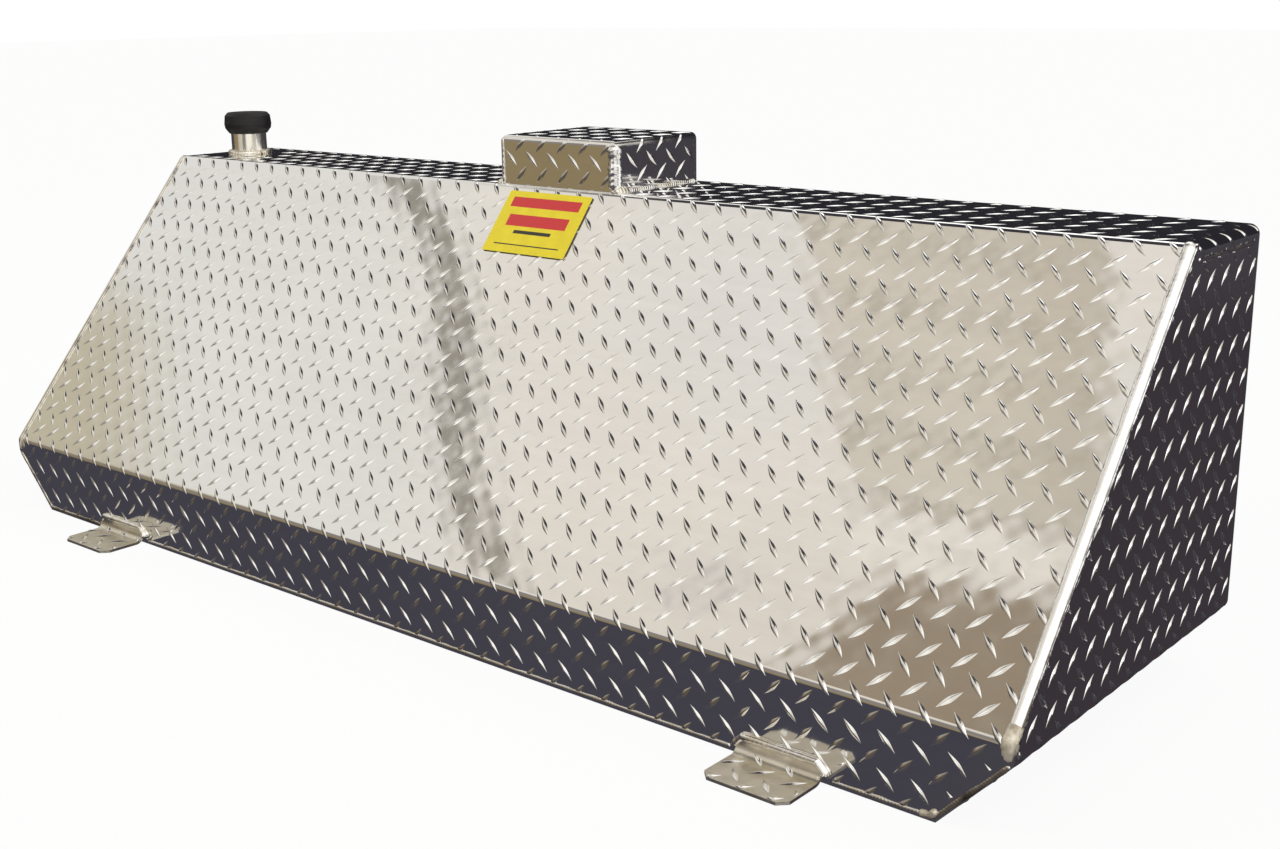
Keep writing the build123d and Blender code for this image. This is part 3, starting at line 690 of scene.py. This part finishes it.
def level_shift(corners, radius):
    """What to add to a coordinate on a profile's second run to get the distance along the profile."""
    (x0, y0), (x1, y1) = corners[:2]
    return math.hypot(x1 - x0, y1 - y0) - radius + radius * math.pi / 2 - (x1 + radius)


def turned_flat(flat):
    """Flat points with across and along changed over, for folds that run along the Y axis."""
    return flat[:, (1, 0, 2)]


def make_mesh(name, points, faces, material):
    """One smooth piece of the object, slotted and riding on the tank."""
    mesh = bpy.data.meshes.new(name)
    mesh.from_pydata([tuple(point) for point in points], [], faces)
    mesh.validate()
    mesh.shade_smooth()
    mesh.materials.append(material)
    piece = bpy.data.objects.new(name, mesh)
    bpy.context.scene.collection.objects.link(piece)
    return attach(piece, "tank")


print("ready to lay lugs")

# %% [markdown]
# ## The finish of the plate
# The sheets are nearly mirrors. What shows on them is the yard, bent by the slow waves of rolling and
# welding and by faint dents between the lugs, so the finish is a smooth metal with these waves in its
# normal, hazed where hands have been. The lugs are the same metal, rubbed brighter. Those of the ends
# and the back are laid low, so their height is added to their normal again, to shade like the rest.

# %% Tread plate finish
wrap_pitch = (0.033854, 0.035603)
wrap_start = (0.0173 - half_length, 0.0230)


def plate_finish(name, base, roughness, wavy, deepened=None):
    """Rolled plate. Wavy says how much of the slow waves it has.

    Deepened is the way that low lugs face, and its length is how many times their height is added.
    """
    material, start = new_material(name)
    place = start.place()
    cloud = place.noise(5.0, 4)
    streak = place.times((3.0, 26.0, 26.0)).noise(4.0, 4)
    haze = place.noise(38.0, 3)
    worn = (cloud * 0.55 + streak * 0.45).ramp(0.3, 0.7)
    dark = tuple(0.93 * part for part in base)
    by_column = (place.dot((1, 0, 0)) - wrap_start[0]) * (2 * math.pi / wrap_pitch[0])
    up_slope = place.dot(slope_up) - Vector((0, front_y, nose_z)).dot(slope_up) + nose_z - wrap_start[1]
    by_row = up_slope * (2 * math.pi / wrap_pitch[1])
    dents = start.maths("COSINE", by_column) * start.maths("COSINE", by_row)
    waves = dents * 0.022 + place.noise(9.0, 2, distortion=0.6) * 0.22 + place.noise(30.0, 2) * 0.012
    relief = waves * (wavy * 0.001)
    if deepened:
        relief = relief + start.maths("ABSOLUTE", place.dot(deepened))
    haze = haze.ramp(0.35, 0.8) * 0.05
    finish_material(start, worn.choose(dark, base), haze + roughness, 1.0, relief.bump(1.0, 1.0))
    return material


lug_colour = (0.95, 0.945, 0.93)
plate = plate_finish("tread_plate", (0.90, 0.895, 0.885), 0.05, 1.0)
lug_metal = plate_finish("lug_metal", lug_colour, 0.12, 0.2)
end_lug_metal = plate_finish("end_lug_metal", lug_colour, 0.20, 0.2, (3.0, 0, 0))
back_lug_metal = plate_finish("back_lug_metal", lug_colour, 0.14, 0.2, (0, 1.5, 0))
print("plate finishes made")

# %% [markdown]
# ## The lugs of the wrapped sheet
# Kick, slope and top are one sheet, so one lattice runs over all three. A fold takes up less sheet
# than a sharp corner would, and the shrinks say how much. The top is laid in two parts, because its
# ends fold down over the end plates. Its lugs are lowered, or at so flat an angle they would hide the
# sheet. None lies near a hole, where the plate was ground.

# %% Lugs of the kick, the slope and the top
edge = 0.006
ground_off = 0.007
level_share = 0.7
fold_shrink = 2 * bend * math.tan(slope_turn / 2) - bend * slope_turn
nose_turn = math.pi / 2 - slope_turn
nose_shrink = 2 * bend * math.tan(nose_turn / 2) - bend * nose_turn
slope_length = math.hypot(top_z - nose_z, top_front_y - front_y)
top_fold = nose_z + slope_length - nose_shrink - fold_shrink / 2
top_end = top_fold - fold_shrink / 2 + back_y - top_front_y


def clipped_outline(foot, knee, head):
    """A flat sheet as long as the tank, clipped at its foot; each argument is a distance along it."""
    narrow = half_length - clip_length - edge
    wide = half_length - edge
    return [(-narrow, foot), (narrow, foot), (wide, knee), (wide, head), (-wide, head), (-wide, knee)]


front_outline = clipped_outline(edge, clip_height + edge, top_fold + lug_length)
on_wrap = folded_along("X", wrap_corners, bend)
points, faces = lay_lugs(front_outline, wrap_pitch, wrap_start, -1, lambda u, s: s < top_fold)
slope_lugs = make_mesh("slope_lugs", on_wrap(points), faces, lug_metal)

ground_circles = [((neck_centre.x, neck_centre.y), neck_radius + ground_off + lug_length / 2)]
for fitting in ("sender_flange", "pickup_bung", "vent_bung"):
    low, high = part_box(fitting)
    middle = (low + high) / 2
    ground_circles.append(((middle.x, middle.y), (high.x - low.x) / 2 + lug_length / 2))

along_top = top_end - back_y
lip_corners = [
    (-half_length, top_z - lip_drop),
    (-half_length, top_z),
    (half_length, top_z),
    (half_length, top_z - lip_drop),
]
lip_end = half_length - bend + bend * math.pi / 2 + lip_drop - bend
top_outline = rectangle(-lip_end, top_fold - lug_length, lip_end, top_end - edge / 2)
bent_at_ends = half_length - bend - lug_length / 2
on_lips = folded_along("Y", lip_corners, bend, level_shift(lip_corners, bend))


def on_top(u, s):
    """True behind the fold, away from the ground circles round the neck and the fittings."""
    clear = [np.hypot(u - x, s - along_top - y) > radius for (x, y), radius in ground_circles]
    return (s >= top_fold) & np.all(clear, axis=0)


def on_top_middle(u, s):
    return on_top(u, s) & (np.abs(u) < bent_at_ends)


def on_top_ends(u, s):
    return on_top(u, s) & (np.abs(u) >= bent_at_ends)


lowered = (1, 1, level_share)
middle_points, middle_faces = lay_lugs(top_outline, wrap_pitch, wrap_start, -1, on_top_middle)
end_points, end_faces = lay_lugs(top_outline, wrap_pitch, wrap_start, -1, on_top_ends)
end_points = turned_flat(end_points - (0, along_top, 0))
top_middle = (on_wrap(middle_points * lowered), middle_faces)
points, faces = join(top_middle, (on_lips(end_points * lowered), end_faces))
top_lugs = make_mesh("top_lugs", points, faces, lug_metal)
print("slope and top lugs:", len(slope_lugs.data.polygons), len(top_lugs.data.polygons), "faces")

# %% [markdown]
# ## The lugs of the ends and the back
# Each end plate folds in along its clipped corner, and the back runs down to the plain underside. The
# lugs here are only as tall as the CAD box leaves room for, and those of the ends are laid wider.

# %% Lugs of the ends and the back
end_pitch = (0.034925, 0.035904)
end_start = (front_y + 0.06217, top_z - 0.09599)
end_fat = 1.3
seam = lip_drop + 0.002
foot_x = half_length - clip_length
clip_run = math.hypot(clip_length, clip_height)
end_room = (1, 1, (cad_box[1][0] - half_length) / lug_height)
back_room = (1, 1, (cad_box[1][1] - back_y) / lug_height)


def end_lugs(name, side):
    """Lugs of one end plate, from the seam under the lip down to the foot of its clipped corner."""
    corners = [(side * half_length, top_z), (side * half_length, clip_height), (side * foot_x, 0)]
    total = top_z - clip_height + clip_run
    outline = [
        (front_y + edge, total - edge),
        (front_y + edge, top_z - nose_z),
        (top_front_y - (lip_drop - edge) / math.tan(slope_turn), seam),
        (back_y - edge, seam),
        (back_y - edge, total - edge),
    ]
    start = end_start
    if side < 0:
        corners.reverse()
        outline = [(u, total - s) for u, s in reversed(outline)]
        start = (end_start[0], total - end_start[1])
    points, faces = lay_lugs(outline, end_pitch, start, -side, fat=end_fat)
    on_end = folded_along("Y", corners, bend)
    return make_mesh(name, on_end(points * end_room), faces, end_lug_metal)


end_lugs_right = end_lugs("end_lugs_right", 1)
end_lugs("end_lugs_left", -1)

back_corners = [(back_y, top_z), (back_y, 0), (front_y, 0)]
back_outline = clipped_outline(top_z - edge, top_z - clip_height - edge, edge)
back_outline = back_outline[:1] + back_outline[:0:-1]
back_foot = top_z - bend - lug_length / 2
on_back = folded_along("X", back_corners, bend)
points, faces = lay_lugs(back_outline, wrap_pitch, wrap_start, 1, lambda u, s: s < back_foot)
back_lugs = make_mesh("back_lugs", on_back(points * back_room), faces, back_lug_metal)
print("end and back lugs:", len(end_lugs_right.data.polygons), len(back_lugs.data.polygons), "faces")

# %% [markdown]
# ## The lugs of the guard box and the feet
# The guard box is a pan with flaps folded down over the front and both sides. Its lugs are laid in two
# parts, the front strip and the rest, and sink toward the middle of its top. Each foot, a folded
# mounting tab, carries a few lugs that run up round its bend.

# %% Lugs of the guard box and the feet
guard_bend = 0.0077
guard_edge = 0.004
guard_pitch = (0.0339, 0.0356)
guard_start = (guard_low.x + 0.016, guard_low.y + 0.012)
over_edge = guard_high.z - top_z - guard_bend + guard_bend * (math.pi / 2 - 1)
fold_zone = guard_bend + lug_length / 2
front_path = [(guard_low.y, top_z), (guard_low.y, guard_high.z), (guard_high.y, guard_high.z)]
side_path = [
    (guard_low.x, top_z),
    (guard_low.x, guard_high.z),
    (guard_high.x, guard_high.z),
    (guard_high.x, top_z),
]
front_flat = rectangle(
    guard_low.x + guard_edge,
    guard_low.y - over_edge + guard_edge,
    guard_high.x - guard_edge,
    guard_high.y - guard_edge,
)
side_flat = rectangle(
    guard_low.x - over_edge + guard_edge,
    guard_low.y + guard_edge,
    guard_high.x + over_edge - guard_edge,
    guard_high.y - guard_edge,
)


def on_strip(x, y):
    """True for the lugs of the strip that folds over the front."""
    return y < guard_low.y + fold_zone


def between_sides(x, y):
    return on_strip(x, y) & (x > guard_low.x) & (x < guard_high.x)


front_points, front_faces = lay_lugs(front_flat, guard_pitch, guard_start, -1, between_sides)
side_points, side_faces = lay_lugs(side_flat, guard_pitch, guard_start, -1, lambda x, y: ~on_strip(x, y))
for flat in (front_points, side_points):
    walls = [flat[:, 0] - guard_low.x, guard_high.x - flat[:, 0], flat[:, 1] - guard_low.y]
    inward = np.clip(np.min(walls, axis=0) / fold_zone, 0, 1)
    flat[:, 2] *= 1 - (1 - level_share) * inward
on_front = folded_along("X", front_path, guard_bend, level_shift(front_path, guard_bend))
on_sides = folded_along("Y", side_path, guard_bend, level_shift(side_path, guard_bend))
front_part = (on_front(front_points), front_faces)
points, faces = join(front_part, (on_sides(turned_flat(side_points)), side_faces))
guard_lugs = make_mesh("guard_lugs", points, faces, lug_metal)

tab_corner = 0.009
tab_bend = 0.009
tab_edge = 0.002


def tab_lugs(side, first):
    """The few lugs on one foot. First is where a lug lies, from the low corner of its flat."""
    low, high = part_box(f"mounting_tab_{side}")
    path = [(low.y, sheet), (front_y - sheet, sheet), (front_y - sheet, high.z)]
    flat_end = front_y - sheet - low.y
    outline = [
        (low.x + tab_corner, tab_edge),
        (high.x - tab_corner, tab_edge),
        (high.x - tab_edge, tab_corner),
        (high.x - tab_edge, flat_end),
        (low.x + tab_edge, flat_end),
        (low.x + tab_edge, tab_corner),
    ]
    points, faces = lay_lugs(outline, wrap_pitch, (low.x + first[0], first[1]), -1)
    on_tab = folded_along("X", path, tab_bend)
    make_mesh(f"tab_lugs_{side}", on_tab(points), faces, lug_metal)


tab_lugs("left", (0.020, 0.020))
tab_lugs("right", (0.026, 0.020))
print("guard box lugs:", len(guard_lugs.data.polygons), "faces")

# %% [markdown]
# ## The weld beads
# A weld laid by hand is a row of small frozen pools, each lapping over the last, so a bead is a
# swollen rope with ripples that curve back at the edges. One function sweeps such a rope along any
# path. It sinks its lower half into the sheets, wanders a little and swells where the welder paused.
# The ropes stand for the plain CAD beads. Their metal is bright where it was brushed, tan where heat
# bloomed and dark where soot stayed.

# %% Weld metal
bead_sides = 12
wander_periods = (0.013, 0.0082, 0.0047, 0.0031)
pause_reach = 0.006
ripple_curve = 0.45
under_share = 0.5


def weld_finish(name, clean, tanned, scale, roughness, relief, metallic=1.0):
    """Weld metal with tanned patches, scale of them to a metre, and a grain as high as relief."""
    material, start = new_material(name)
    place = start.place()
    bloom = place.noise(scale, 3).ramp(0.42, 0.72)
    grain = place.noise(900.0, 2).bump(0.25, relief)
    finish_material(start, bloom.choose(clean, tanned), bloom * 0.14 + roughness, metallic, grain)
    return material


weld_metal = weld_finish("weld_metal", (0.90, 0.89, 0.87), (0.76, 0.70, 0.58), 55.0, 0.14, 0.0004)
bright_bead = weld_finish("bright_bead", (0.95, 0.95, 0.95), (0.92, 0.91, 0.89), 40.0, 0.20, 0.0001)
bead_toe = weld_finish("bead_toe", (0.86, 0.82, 0.73), (0.66, 0.60, 0.47), 80.0, 0.30, 0.0006)
nose_metal = weld_finish("nose_metal", (0.66, 0.61, 0.50), (0.40, 0.34, 0.25), 130.0, 0.30, 0.0008, 0.55)
seam_metal = weld_finish("seam_metal", (0.78, 0.74, 0.65), (0.16, 0.14, 0.12), 45.0, 0.25, 0.0006)


def bead(name, route, outward, width, rise, stands_for=(), ripple=0.16, pool=0.0034, wander=0.06,
         pauses=(), metal=weld_metal):
    """A rippled weld along a route. Outward says which way it swells, at each point or everywhere."""
    random_phase = np.random.default_rng(len(name) * 7 + len(route)).uniform(0, 6.28, 4)
    route = np.array(route, float)
    outward = np.broadcast_to(np.array(outward, float), route.shape)
    lengths = np.concatenate(([0], np.cumsum(np.linalg.norm(np.diff(route, axis=0), axis=1))))
    count = max(12, int(lengths[-1] / pool * 5))
    at = np.linspace(0, lengths[-1], count)
    line = np.column_stack([np.interp(at, lengths, route[:, k]) for k in range(3)])
    away = np.column_stack([np.interp(at, lengths, outward[:, k]) for k in range(3)])
    away /= np.linalg.norm(away, axis=1)[:, None]
    ahead = np.gradient(line, axis=0)
    ahead /= np.linalg.norm(ahead, axis=1)[:, None]
    aside = np.cross(ahead, away)
    waves = sum(np.sin(at / period + phase) for period, phase in zip(wander_periods, random_phase))
    swell = 1 + wander * waves / 2
    for distance, size in pauses:
        swell += size * np.exp(-(((at - distance) / pause_reach) ** 2))
    ends = np.minimum(at, lengths[-1] - at) / (width / 2)
    swell *= np.sqrt(1 - (1 - np.clip(ends, 0.02, 1)) ** 2)
    angles = np.linspace(0, 2 * math.pi, bead_sides, endpoint=False)
    across, over = np.cos(angles), np.sin(angles)
    over = np.where(over > 0, over, under_share * over)
    phase = at[:, None] / pool + ripple_curve * across**2
    pools = np.abs(np.sin(math.pi * phase)) ** 0.7
    reach = swell[:, None] * (1 + ripple * (pools - 0.6))
    points = (
        line[:, None]
        + aside[:, None] * (across * reach)[:, :, None] * width / 2
        + away[:, None] * (over * reach)[:, :, None] * rise
    )
    points = np.clip(points, *cad_box).reshape(-1, 3)
    faces = [
        (i + j, i + (j + 1) % bead_sides, i + bead_sides + (j + 1) % bead_sides, i + bead_sides + j)
        for i in range(0, (count - 1) * bead_sides, bead_sides)
        for j in range(bead_sides)
    ]
    faces.append(tuple(range(bead_sides - 1, -1, -1)))
    faces.append(tuple(range((count - 1) * bead_sides, count * bead_sides)))
    piece = make_mesh(name, points, faces, metal)
    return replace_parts(piece, *stands_for) if stands_for else piece


print("weld beads can be laid")

# %% [markdown]
# ## The long beads and the seams
# The bead down the right edge of the slope is wide, bright and nearly smooth; the left one is narrow
# and sooty. At the nose both end in a small brown heap. The other seams are thin and low.

# %% Beads at the ends of the slope, and flat seams
slope_beads = {
    "right": {"width": 0.0126, "rise": 0.0032, "ripple": 0.03, "wander": 0.05, "metal": bright_bead},
    "left": {"width": 0.0090, "rise": 0.0016, "ripple": 0.0, "wander": 0.0, "metal": seam_metal},
}
nose_sizes = {"right": (0.0138, 0.0036), "left": (0.0090, 0.0018)}
rises = np.linspace(clip_height + 0.003, top_fold + 0.004, 60)
profile, normals = follow(wrap_corners, bend, rises)
lip_places = np.linspace(guard_low.y + 0.002, back_y - 0.012, 20)

for side, name in ((1, "right"), (-1, "left")):
    route = [(side * (half_length - 0.0050), y, z) for y, z in profile - 0.0006 * normals]
    outward = [(side * 0.55, ny, nz) for ny, nz in normals]
    looks = slope_beads[name]
    bead(f"slope_bead_{name}", route, outward, stands_for=[f"end_weld_{name}"], pool=0.0055, **looks)
    nose = [(side * (half_length - 0.0052), y, z) for y, z in profile[:5]]
    looks = {"ripple": 0.09, "pool": 0.0060, "wander": 0.16, "metal": nose_metal}
    bead(f"nose_blob_{name}", nose, outward[:5], *nose_sizes[name], **looks)
    route = [(side * half_length, y, top_z - lip_drop) for y in lip_places]
    bead(f"lip_seam_{name}", route, (side, 0, 0), 0.0045, 0.0011, [f"lip_weld_{name}"], wander=0.16)

seam_in = 0.004
tab_gap = 0.009
clip_lean = math.atan2(clip_height, clip_length)
knee = (half_length - seam_in, clip_height - 0.001)
foot = (half_length - clip_length - seam_in * math.tan(clip_lean / 2), seam_in)
left_knee = (-knee[0], knee[1])
left_foot = (-foot[0], foot[1])
left_tab_low, left_tab_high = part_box("mounting_tab_left")
right_tab_low, right_tab_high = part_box("mounting_tab_right")
beside_tabs = [
    (left_tab_low.x - tab_gap, seam_in),
    (left_tab_high.x + tab_gap, seam_in),
    (right_tab_low.x - tab_gap, seam_in),
    (right_tab_high.x + tab_gap, seam_in),
]


def kick_seam(name, places, stands_for=(), metal=weld_metal):
    route = [(x, front_y, z) for x, z in places]
    bead(name, route, (0, -1, 0), 0.0046, 0.0012, stands_for, wander=0.16, metal=metal)


kick_seam("kick_seam_left", [left_knee, left_foot, beside_tabs[0]], ["kick_weld"], seam_metal)
kick_seam("kick_seam_middle", beside_tabs[1:3])
kick_seam("kick_seam_right", [beside_tabs[3], foot])
kick_seam("clip_seam_right", [foot, knee], metal=seam_metal)
blob_steps = ((-0.014, 0.005), (-0.004, 0.0055), (0.003, 0.011))
route = [(foot[0] + x, front_y, z) for x, z in blob_steps]
looks = {"ripple": 0.12, "pool": 0.0045, "wander": 0.25, "metal": nose_metal}
bead("foot_blob_right", route, (0, -1, 0), 0.0070, 0.0030, **looks)

shoulder = (half_length - seam_in, top_z - seam_in)
heel = (half_length - clip_length + 0.008, 0.008)
back_places = [heel, knee, shoulder, (-shoulder[0], shoulder[1]), left_knee, (-heel[0], heel[1])]
route = [(x, back_y, z) for x, z in back_places]
bead("back_seam", route, (0, 1, 0), 0.0046, 0.0012, ["back_weld"], wander=0.16)
print("seams laid")

# %% [markdown]
# ## The beads of the guard box, the neck and the feet
# Beads close the front corners of the guard box, the right one fat, with plain pools. Thinner ones run
# along its foot, from a heap at the front, and round the neck. Each foot is welded on up one side,
# over its top and down the other.

# %% Beads of the guard box, the neck and the feet
corner_beads = {
    "right": {"width": 0.0150, "rise": 0.0050, "metal": bright_bead},
    "left": {"width": 0.0080, "rise": 0.0026, "metal": weld_metal},
}
for side, name, corner_x in ((1, "right", guard_high.x), (-1, "left", guard_low.x)):
    route = [(corner_x - side * 0.002, guard_low.y + 0.002, z) for z in (top_z - 0.001, guard_high.z - 0.004)]
    looks = {"ripple": 0.15, "pool": 0.0068, "wander": 0.10, **corner_beads[name]}
    bead(f"guard_corner_bead_{name}", route, (side, -1, 0), stands_for=[f"guard_weld_{name}"], **looks)
    route = [(corner_x, y, top_z) for y in (guard_low.y - 0.002, back_y - 0.004)]
    size = (0.0048, 0.0026)
    bead(f"guard_foot_bead_{name}", route, (side, 0, 0.8), *size, ripple=0.22, pool=0.0040, wander=0.14)
    heap = [(corner_x + side * 0.003, guard_low.y + y, top_z + 0.001) for y in (-0.004, 0.020)]
    looks = {"ripple": 0.26, "pool": 0.0052, "wander": 0.20, "metal": bead_toe}
    bead(f"guard_heap_{name}", heap, (side, -0.3, 1), 0.0150, 0.0048, **looks)

spokes = [(math.cos(a), math.sin(a)) for a in np.linspace(0, 2 * math.pi, 61)]
ring = neck_radius + 0.0022
route = [(neck_centre.x + ring * x, neck_centre.y + ring * y, top_z + 0.0022) for x, y in spokes]
outward = [(x, y, 1.0) for x, y in spokes]
looks = {"ripple": 0.14, "pool": 0.0045, "wander": 0.14, "metal": bead_toe}
bead("neck_bead", route, outward, 0.0074, 0.0038, ["neck_weld"], **looks)

bead_out = 0.0025
bead_above = 0.0020
bead_corner = 0.006
outward = [(-0.5, -1, 0), (-0.5, -1, 0.2), (-0.2, -1, 0.6), (0.2, -1, 0.6), (0.5, -1, 0.2), (0.5, -1, 0)]
looks = {"ripple": 0.05, "pool": 0.0050, "wander": 0.08, "pauses": ((0.115, 0.35),)}
for name, low, high in (("left", left_tab_low, left_tab_high), ("right", right_tab_low, right_tab_high)):
    places = [
        (low.x - bead_out, 0.006),
        (low.x - bead_out, high.z - bead_corner),
        (low.x + bead_corner, high.z + bead_above),
        (high.x - bead_corner, high.z + bead_above),
        (high.x + bead_out, high.z - bead_corner),
        (high.x + bead_out, 0.006),
    ]
    route = [(x, front_y - 0.0012, z) for x, z in places]
    bead(f"tab_bead_{name}", route, outward, 0.0080, 0.0042, [f"tab_weld_{name}"], **looks)
print("beads laid")

# %% [markdown]
# ## The neck, the cap and the label
# The neck is drawn tube with fine streaks along its length, and the cap dull black moulded plastic
# with a few scuffs. The label is a yellow film with two red bars and two black lines, on a stiff
# backing whose edge is painted near black, a painted shadow line along it. A painted picture could
# place the bars; a product of four ramps does it more sharply, by how far a point lies across and up
# the label.

# %% Neck, cap and label
neck_tube, start = new_material("neck_tube")
streaks = start.place().times((1.0, 1.0, 0.03)).noise(420.0, 3)
shine = streaks.ramp(0.3, 0.7)
neck_colour = shine.choose((0.84, 0.80, 0.71), (0.94, 0.91, 0.84))
finish_material(start, neck_colour, shine * 0.10 + 0.12, 1.0, streaks.bump(0.2, 0.0002))

cap_plastic, start = new_material("cap_plastic")
place = start.place()
scuffs = place.noise(70.0, 4).ramp(0.55, 0.75)
cap_colour = scuffs.choose((0.005, 0.004, 0.005), (0.014, 0.012, 0.013))
finish_material(start, cap_colour, scuffs * 0.10 + 0.54, 0.0, place.noise(700.0, 3).bump(0.15, 0.0003))

label_low, label_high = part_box("label")
label_middle = (label_low + label_high) / 2
edge_blur = 0.0004
red = (0.62, 0.035, 0.04)
black = (0.03, 0.028, 0.02)
bars = (
    (0.055, 0.020, 0.034, red),
    (0.048, -0.006, 0.010, red),
    (0.030, -0.016, -0.011, black),
    (0.052, -0.032, -0.030, black),
)


def between(wire, low, high):
    """1 between low and high, with a slightly blurred edge."""
    return wire.ramp(low, low + edge_blur) * wire.ramp(high, high - edge_blur)


label_film, start = new_material("label_film")
place = start.place()
across = place.dot((1, 0, 0)) - label_middle.x
upward = place.dot(slope_up) - label_middle.dot(slope_up)
depth = place.dot(slope_out) - label_middle.dot(slope_out)
cloud = place.noise(60.0, 2)
film = cloud.ramp(0.3, 0.7).choose((0.80, 0.66, 0.020), (0.86, 0.72, 0.026))
for half_width, foot_line, head_line, paint in bars:
    bar = between(across, -half_width, half_width) * between(upward, foot_line, head_line)
    film = bar.choose(film, paint)
# The sides of the label's stiff backing, below its face, are painted near black: a painted shadow line round
# the film.
film_and_painted_edge_shadow = depth.ramp(0.0005, 0.0007).choose((0.02, 0.02, 0.02), film)
finish_material(start, film_and_painted_edge_shadow, cloud * 0.1 + 0.32)
print("label is", round(label_high.x - label_low.x, 4), "m wide")

# %% [markdown]
# ## The other finishes
# Rubber, zinc-plated steel, turned aluminium and brass, foam and a moulded ball are mostly hidden, so
# one function serves them all. The feet get a warmer, duller plate than the tank. Then each CAD piece
# is given the finish of its slot.

# %% Finishes of the rubber, the steel and the fittings
def plain_finish(name, dark, light, roughness, scale, relief, metallic=1.0):
    """A finish whose shade and roughness wander a little over the piece, with a fine relief."""
    material, start = new_material(name)
    place = start.place()
    shade = place.noise(scale, 4)
    grain = place.noise(scale * 6, 3).bump(0.3, relief)
    blend = shade.ramp(0.3, 0.7).choose(dark, light)
    finish_material(start, blend, shade * 0.15 + roughness, metallic, grain)
    return material


rubber_shades = ((0.012, 0.012, 0.012), (0.025, 0.025, 0.025))
foam_shades = ((0.015, 0.015, 0.015), (0.035, 0.034, 0.033))
ball_shades = ((0.70, 0.70, 0.68), (0.80, 0.80, 0.78))
tab_plate = plain_finish("tab_plate", (0.72, 0.68, 0.58), (0.84, 0.80, 0.71), 0.24, 45, 0.0008)
finishes = {
    "tread_plate": plate,
    "plain_sheet": plain_finish("plain_sheet", (0.60, 0.60, 0.60), (0.70, 0.70, 0.70), 0.30, 40, 0.0003),
    "neck_tube": neck_tube,
    "weld_metal": weld_metal,
    "cap_plastic": cap_plastic,
    "seal_rubber": plain_finish("seal_rubber", *rubber_shades, 0.60, 90, 0.0003, metallic=0.0),
    "steel": plain_finish("zinc_steel", (0.45, 0.45, 0.44), (0.58, 0.57, 0.55), 0.28, 120, 0.0002),
    "bung_metal": plain_finish("bung_metal", (0.66, 0.66, 0.65), (0.78, 0.78, 0.77), 0.22, 150, 0.0002),
    "fitting_brass": plain_finish("fitting_brass", (0.60, 0.42, 0.17), (0.80, 0.61, 0.30), 0.22, 90, 0.0002),
    "dip_tube_metal": plain_finish("dip_tube", (0.66, 0.66, 0.65), (0.76, 0.76, 0.75), 0.25, 90, 0.0002),
    "float_foam": plain_finish("float_foam", *foam_shades, 0.75, 250, 0.0006, metallic=0.0),
    "ball_plastic": plain_finish("ball_plastic", *ball_shades, 0.35, 90, 0.0001, metallic=0.0),
    "label_film": label_film,
}
for part in frame["record"]["subparts"]:
    node = nodes[part["node"]]
    node.data.materials.clear()
    worked = part["node"].startswith("mounting_tab")
    node.data.materials.append(tab_plate if worked else finishes[part["material_slot"]])
print("finishes on", len(nodes), "nodes")
